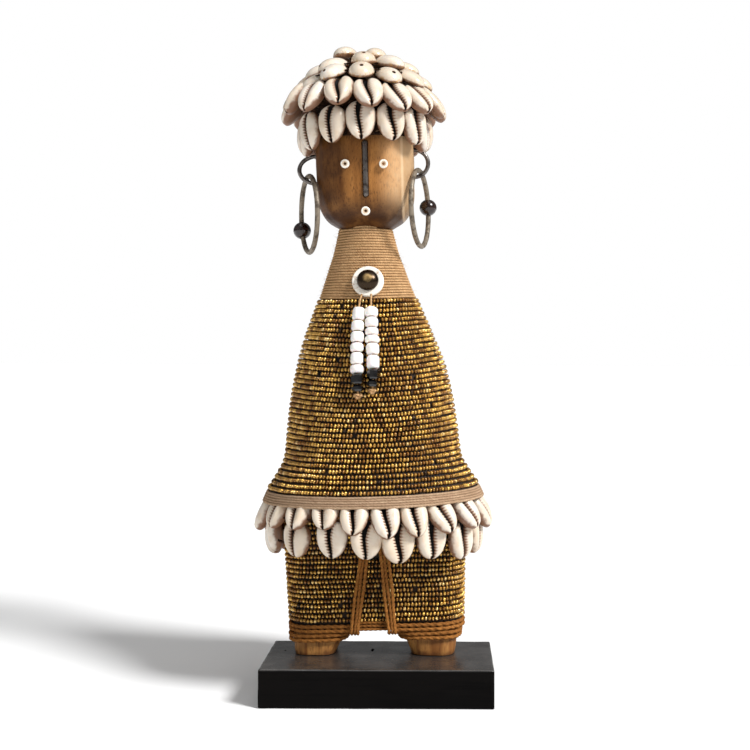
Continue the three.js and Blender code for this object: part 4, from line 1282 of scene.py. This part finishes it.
def backShell(name, seed, holeTurn, holeLean):
    # Seen from its humped back, with the hole it is sewn through near one end; rings run round the hole
    chance = random.Random(seed)
    hole = {"radius": 0.85, "depth": 1.7}
    lean = Matrix.Rotation(math.radians(holeTurn), 3, "Z") @ Matrix.Rotation(math.radians(holeLean), 3, "X")
    bulge = chance.uniform(0.06, 0.14)
    rings, cleft, rim, stain = [], [], [], []
    mouth = hole["radius"] / 6.0
    angles = [0.02, mouth * 0.8, mouth, mouth * 1.08, mouth * 1.6, mouth * 2.3] + steps(0.5, math.pi - 0.03, 19)
    for n, a in enumerate(angles):
        ring = []
        for i in range(24):
            b = 2 * math.pi * i / 24
            d = lean @ Vector((math.sin(a) * math.cos(b), math.sin(a) * math.sin(b), math.cos(a)))
            egg = 1 + bulge * d.y
            p = Vector((squared(d.x, 2.15) * cowrie["halfWidth"] * egg, squared(d.y, 2.15) * cowrie["halfLength"],
                        d.z * (cowrie["front"] * 1.08 if d.z > 0 else cowrie["back"] * 0.5)))
            if n < 2:
                p -= (lean @ Vector((0, 0, 1))) * hole["depth"]
            ring.append(p)
            # painted shade: the sewing hole near black, its mouth half dark
            cleft.append(1.0 if n < 2 else 0.4 if n == 2 else 0.0)
            # rim is brown dirt and painted shade: strongest on the underside, where the shell sits
            rim.append(0.7 if p.z < 0 else 0.7 * max(0.0, 1 - p.z / 1.1))
            stain.append(max(0.0, min(1.0, 1.2 - abs(p.z - 0.3) / 1.0)))
        rings.append(ring)
    shell = loft(name, rings, plinthFrame)
    markPoints(shell, "cleft", cleft + [1.0, 0.0])
    markPoints(shell, "rim", rim + [0.0, 0.6])
    markPoints(shell, "stain", stain + [0.0, 0.0])
    return shell


shells = bpy.data.collections.new("shells")
shapes = [openShell(f"shell_{n:02d}", 100 + n) for n in range(6)]
holes = [(-22, 42), (4, 28), (10, 36), (20, -34), (-13, 58)]
shapes += [backShell(f"shell_{6 + n:02d}", 200 + n, *facts) for n, facts in enumerate(holes)]
for shape in shapes:
    bpy.context.scene.collection.objects.unlink(shape)
    shells.objects.link(shape)

# Rows of shells. "front" gives the shells that face forwards as [degrees, up, out, roll, kind];
# the others follow evenly round the back. swing is how far the lower ends stand out
shellRows = {
    "hem_cowries_upper": {
        "height": 68.0, "radius": 50.9, "depthRatio": 0.92, "squareness": 2.0, "swing": 31, "length": 18.5,
        "wide": 0.97, "behind": 12, "tucked": True,
        "front": [[-80, -0.2, 0, -4, 0], [-57, 3.1, 0, -7, 3], [-39, 3.7, 0, -3, 1], [-22, 4.5, 0, 0, 2],
                  [-6.6, 1.8, 0, -3, 4], [9.2, -0.1, 0, 3, 5], [24, 0.1, 0, 0, 0], [40, -0.1, 0, 10, 1],
                  [59, 0.1, 0, 12, 2], [82, -1.7, 0, 6, 3]]},
    "hem_cowries_lower": {
        "height": 56.0, "radius": 47.2, "depthRatio": 0.92, "squareness": 2.0, "swing": -3, "length": 17.6,
        "wide": 1.12, "behind": 10,
        "front": [[-75, 3.1, 0, 2, 5], [-43, 2.6, 0, -12, 0], [-19.6, 3.8, 0, -6, 1], [-0.8, 3.0, 0, -4, 2],
                  [15.8, 0.9, 0, 0, 3], [35.4, 1.5, 0, -3, 1], [59, -1.2, 0, 5, 4], [80, -0.7, 0.5, 0, 0]]},
    "head_cowries_tier_1": {
        "height": 247.2, "radius": 28.6, "depthRatio": 0.96, "squareness": 2.4, "swing": 3, "length": 17.6,
        "wide": 1.0, "behind": 7,
        "front": [[-80, -3.4, -2.0, 0, 3], [-52, -2.4, 0, 6, 1], [-22.5, -0.9, 0, -2, 0], [0, 0.3, 0, 0, 2],
                  [23.5, -0.4, 0, 4, 3], [53, -1.2, -0.2, 6, 4], [86, -2.0, -2.4, 4, 5]]},
    "head_cowries_tier_2": {
        "height": 259.4, "radius": 33.4, "depthRatio": 0.96, "squareness": 2.0, "swing": 40, "length": 17.6,
        "wide": 1.0, "behind": 8,
        "front": [[-74, 2.2, -1.2, 10, 1], [-41, -0.1, 0, 0, 5], [-16, 0.6, 0, 8, 4], [7, -0.8, 0, 6, 2],
                  [29.5, -2.1, 0, 10, 0], [51, -1.9, -0.3, 4, 3], [80, -0.4, -0.9, 0, 1]]},
    "head_cowries_tier_3": {
        "height": 271.4, "radius": 25.4, "depthRatio": 0.95, "squareness": 2.0, "swing": 64, "length": 17.0,
        "wide": 0.89, "behind": 6,
        "front": [[-66, -2.6, -2.6, 0, 9], [-29, -1.2, 0.3, 6, 6], [1.5, -1.4, 0, 0, 7], [31, -3.4, 0, -14, 8],
                  [60, -2.8, 0.2, -6, 9], [86, -2.2, -0.4, 0, 9]]},
    "head_cowries_tier_4": {
        "height": 276.6, "radius": 17.0, "depthRatio": 0.93, "squareness": 2.0, "swing": 76, "length": 16.6,
        "wide": 0.88, "behind": 4,
        "front": [[-84, -2.0, 2.6, 0, 9], [-46, -1.5, 1.4, 0, 10], [4, 0.4, 0, 0, 7], [47, -0.6, 0.9, 0, 9],
                  [84, -1.2, 1.8, 0, 9]]},
    "head_cowries_tier_5": {
        "height": 281.6, "radius": 8.2, "depthRatio": 0.95, "squareness": 2.0, "swing": 82, "length": 15.6,
        "wide": 0.86, "behind": 0,
        "front": [[-66, 1.0, 0.6, 55, 9], [52, -0.2, -0.4, -55, 9], [140, -0.6, 0, 0, 7], [222, -0.6, 0, 0, 9]]},
}


def ringPoint(row, degrees, out=0.0):
    t = math.radians(degrees)
    radius = row["radius"] + out
    return Vector((radius * squared(math.sin(t), row["squareness"]),
                   -radius * row["depthRatio"] * squared(math.cos(t), row["squareness"]), row["height"]))


def shellTurn(row, degrees, swing, roll):
    t, s = math.radians(degrees), math.radians(swing)
    out = Vector((math.sin(t) * row["depthRatio"], -math.cos(t), 0)).normalized()
    across = Vector((-out.y, out.x, 0))
    up = Vector((-out.x * math.sin(s), -out.y * math.sin(s), math.cos(s)))
    basis = Matrix((across, up, across.cross(up))).transposed()
    return (dollFrame.to_3x3().normalized() @ basis @ Matrix.Rotation(math.radians(roll), 3, "Z")).to_euler()


def sewShells(name, row, tree, seed):
    chance = random.Random(seed)
    backs = name[-1] in "345"
    placed = [list(one) for one in row["front"]]
    first, last = row["front"][0][0] + 360, row["front"][-1][0]
    for k in range(row["behind"]):
        degrees = last + (first - last) * (k + 1) / (row["behind"] + 1)
        kind = 6 + chance.randrange(5) if backs else chance.randrange(6)
        placed.append([degrees + chance.uniform(-1.5, 1.5), chance.uniform(-0.6, 0.6), 0,
                       chance.uniform(-5, 5), kind])
    points, turns, sizes, kinds, tones = [], [], [], [], []
    for degrees, up, out, roll, kind in placed:
        # in a tucked row only the lower ends rise, because the upper ends stay behind the band
        length = row["length"] - (max(0.0, up) if row.get("tucked") else 0.0)
        rise = up / 2 if row.get("tucked") and up > 0 else up
        inward = 0.6 * max(0.0, rise) + 0.5 if row.get("tucked") else 0.0
        points.append(ringPoint(row, degrees, out - inward) + Vector((0, 0, rise)))
        turns += shellTurn(row, degrees, row["swing"] + chance.uniform(-3, 3), roll + chance.uniform(-1, 1))
        wide = row["wide"] * chance.uniform(0.96, 1.04)
        tall = length / (2 * cowrie["halfLength"]) * chance.uniform(0.97, 1.02)
        sizes += (wide, tall, chance.uniform(0.92, 1.05))
        kinds.append(kind)
        tones.append(chance.random())
    piece = makePiece(name, points, [])
    for label, sort, field, values in (("turn", "FLOAT_VECTOR", "vector", turns),
                                       ("size", "FLOAT_VECTOR", "vector", sizes),
                                       ("kind", "INT", "value", kinds), ("tone", "FLOAT", "value", tones)):
        piece.data.attributes.new(label, sort, "POINT").data.foreach_set(field, values)
    grow(piece, tree, {"Shells": shells, "Material": finishes["cowrie"]})
    threadLine = [ringPoint(row, d) for d in steps(0, 360, 72)[:-1]]
    addPart(piece, windTwine(f"{name}_thread", [threadLine], True, 1.3, 4.0, finishes["darkThread"], step=1.6))
    return piece


sewing = shellTree()
for n, (name, row) in enumerate(shellRows.items()):
    put(sewShells(name, row, sewing, 40 + n), "cowrie_shell", name)
for shape in shapes:
    bpy.data.objects.remove(shape)
print("cowries sewn")

# Cap of matted fibre, hollow where the head goes in

cap = {
    "outline": [[242.0, 24.8, 22.2], [246.0, 25.0, 22.6], [255.0, 26.0, 24.0], [262.5, 24.6, 22.6],
                [268.5, 19.4, 17.8], [273.4, 11.0, 10.2], [276.2, 4.5, 4.2]],
    "squareness": 2.4, "crownFrom": 262, "crownSquareness": 2.1, "clear": 0.5, "lumps": 1.5, "fibres": 3.4e5,
}
headTop, capBottom = head["outline"][-1][0], cap["outline"][0][0]
inner = []
for z in steps(headTop, capBottom, 14):
    w, d = readAlong(head["outline"], z)
    up = cap["clear"] if z > headTop - 1 else 0.0
    inner.append(levelRing(z + up, w + cap["clear"], d + cap["clear"], head["squareness"]))
outer = []
for z in steps(*span(cap["outline"]), 44):
    w, d = readAlong(cap["outline"], z)
    outer.append(levelRing(z, w, d, cap["squareness"] if z < cap["crownFrom"] else cap["crownSquareness"]))
wig = loft("wig_cap", inner + outer)
for v in wig.data.vertices:
    p = v.co / mm
    lump = noise.noise(p * 0.22) * 0.6 + noise.noise(p * 0.8) * 0.4
    if v.index > len(inner) * len(inner[0]):
        v.co += v.normal * lump * cap["lumps"] * mm
wig.data.materials.append(finishes["cap"])
fringe = wig.copy()
fringe.data = wig.data.copy()
bpy.context.scene.collection.objects.link(fringe)
grow(fringe, fringeTree(), {"Stray Density": cap["fibres"], "Stray Fibre": looseFibre,
                            "Material": finishes["stray"]})
addPart(wig, fringe)
put(wig, "cap_fibre", "wig_cap")
print("cap matted")

# Face: a steel rod for the nose, white rings for the eyes and mouth

rod = rodOf("nose_rod", face["rod"])
roughen(rod, 0.03, 5.0, 4)
dress(rod, "steel", "dark_steel", "nose_rod")


def softRing(outer, hole, thick, edge):
    # Section of a flat ring with rounded edges, from the hole round to the hole again
    profile = []
    for radius, z, turn in ((hole + edge, -thick + edge, 180), (outer - edge, -thick + edge, 270),
                            (outer - edge, thick - edge, 0), (hole + edge, thick - edge, 90)):
        for k in range(5):
            a = math.radians(turn + k * 22.5)
            profile.append([radius + edge * math.cos(a), z + edge * math.sin(a)])
    return profile


def ringMarks(piece, profile, sides, hole):
    values = [0.75 if radius < hole + 0.45 else 0.25 if abs(z) < 0.4 else 0.0 for radius, z in profile]
    markPoints(piece, "rim", [value for value in values for _ in range(sides)])


for name, (x, z) in (("eye_left", face["eyes"][0]), ("eye_right", face["eyes"][1]), ("mouth", face["mouth"])):
    profile = softRing(face["ring"] / 2, face["hole"] / 2, face["thick"] / 2, 0.42)
    onFace = Matrix.Translation((x, -(face["front"] + body["gap"] + face["thick"] / 2), z))
    where = onFace @ Matrix.Rotation(math.pi / 2, 4, "X")
    ring = lathe(name, profile, where, 40, closed=True, sharpDeg=60)
    ringMarks(ring, profile, 40, face["hole"] / 2)
    dress(ring, "faceBead", "white_bone", name)

# Ear loops, hoops and the beads threaded on them


def hoopPoint(facts, a):
    # a is measured from the hoop's rear
    turn = math.radians(-facts["side"] * facts["turn"])
    back, up = ear["hoopRadius"] * math.cos(a), ear["hoopRadius"] * math.sin(a)
    return Vector((facts["hoopX"] - back * math.sin(turn), back * math.cos(turn), facts["hoopZ"] + up))


for n, (side, facts) in enumerate(ears.items()):
    loop = tube(f"ear_loop_{side}", earLine(facts), ear["wire"] / 2, 14, wobble=0.12, seed=n)
    dress(loop, "steel", "dark_steel", f"ear_loop_{side}")
    circle = [hoopPoint(facts, a) for a in steps(0, 2 * math.pi, 110)[:-1]]
    hoop = tube(f"hoop_{side}", circle, ear["hoopWire"] / 2, 16, closed=True, wobble=0.06, seed=5 + n)
    dress(hoop, "hoop", "hoop_metal", f"hoop_{side}")
    a = math.radians(facts["beadAngle"])
    middle = hoopPoint(facts, a)
    along = (hoopPoint(facts, a + 0.01) - hoopPoint(facts, a - 0.01)).normalized()
    r, bore = facts["bead"] / 2, ear["hoopWire"] / 2 + body["gap"]
    edge = math.asin(bore / r)
    profile = [[r * math.sin(t), r * math.cos(t) * 0.97] for t in steps(edge, math.pi - edge, 26)]
    profile += [[bore, -r * 0.6 + 1.2 * r * k / 4] for k in range(5)]
    where = Matrix.Translation(middle) @ Vector((0, 0, 1)).rotation_difference(along).to_matrix().to_4x4()
    bead = lathe(f"hoop_bead_{side}", profile, where, 48, closed=True, sharpDeg=50)
    dress(bead, "beadWood", "hoop_bead_wood", f"hoop_bead_{side}")

# Medallion: a bone ring with a domed brass stud, lying on the slope of the neck

medal = {"x": 1.2, "height": 174.6, "ring": 14.7, "hole": 6.0, "thick": 2.0, "stud": 10.0, "dome": 3.4,
         "tiltDeg": 17, "lift": 1.5, "windings": 1.3, "ringSides": 72, "studSides": 64}
surface = (body["depth"] * readAlong(body["outline"], medal["height"])[0] + body["gap"] + medal["windings"]
           + body["gap"])
onNeck = (Matrix.Translation((medal["x"], -surface - medal["lift"], medal["height"]))
          @ Matrix.Rotation(math.radians(90 - medal["tiltDeg"]), 4, "X"))
profile = softRing(medal["ring"] / 2, medal["hole"] / 2, medal["thick"] / 2, 0.6)
ring = lathe("medallion_ring", profile, onNeck, medal["ringSides"], closed=True, sharpDeg=60)
ringMarks(ring, profile, medal["ringSides"], medal["hole"] / 2)
dress(ring, "bone", "white_bone", "medallion_ring")
half, foot, r = medal["thick"] / 2, medal["thick"] / 2 + body["gap"], medal["stud"] / 2
stem = medal["hole"] / 2 - body["gap"]
profile = [[0.05, 0.2 - half], [stem, 0.2 - half], [stem, foot], [r - 0.2, foot], [r, foot + 0.2], [r, foot + 0.5]]
profile += [[max(0.05, r * math.cos(t)), foot + 0.5 + medal["dome"] * math.sin(t)]
            for t in steps(0.05, math.pi / 2, 18)]
stud = lathe("medallion_stud", profile, onNeck, medal["studSides"], sharpDeg=50)
crown = [max(0.0, 1 - radius / (0.6 * r)) if z > half + medal["dome"] / 2 else 0.0 for radius, z in profile]
markPoints(stud, "crown", [value for value in crown for _ in range(medal["studSides"])] + [0.0, 1.0])
dress(stud, "brass", "aged_brass", "medallion_stud")
print("metal and medallion made")

for tool in (looseFibre, beads["shape"]):
    bpy.data.objects.remove(tool)

# Pale floor and soft studio light

floor = loft("floor", slabRings(60, 60, -0.02, -0.0002), Matrix.Identity(4), sharpDeg=30)
floorMaterial, tree, shader = startMaterial("pale_floor", {"Roughness": 1.0, "Specular IOR Level": 0.0})
cloud = noiseOf(tree, place(tree), 6.0, 2.0)
feed(tree, shader, {"Base Color": blend(tree, cloud, paint(250, 250, 250), paint(253, 253, 253))})
floor.data.materials.append(floorMaterial)

lights = {
    "key": {"strength": 3.9, "wideDeg": 16, "turn": (50, 0, 56)},
    "fill": {"strength": 0.14, "wideDeg": 60, "turn": (62, 0, -46)},
    "top": {"strength": 0.6, "wideDeg": 50, "turn": (14, 0, 10)},
}
for name, facts in lights.items():
    lamp = bpy.data.lights.new(name, "SUN")
    lamp.energy = facts["strength"]
    lamp.angle = math.radians(facts["wideDeg"])
    holder = bpy.data.objects.new(name, lamp)
    holder.rotation_euler = [math.radians(a) for a in facts["turn"]]
    bpy.context.scene.collection.objects.link(holder)

world = bpy.data.worlds.new("studio")
world.use_nodes = True
bpy.context.scene.world = world
tree = world.node_tree
seen = addNode(tree, "ShaderNodeLightPath").outputs["Is Camera Ray"]
background = tree.nodes["Background"]
background.inputs["Color"].default_value = (1.0, 1.0, 1.0, 1.0)
tree.links.new(ramp(tree, seen, 0.0, 1.0, 0.2, 1.0), background.inputs["Strength"])
bpy.context.scene.view_settings.view_transform = "Standard"
print("studio lit")
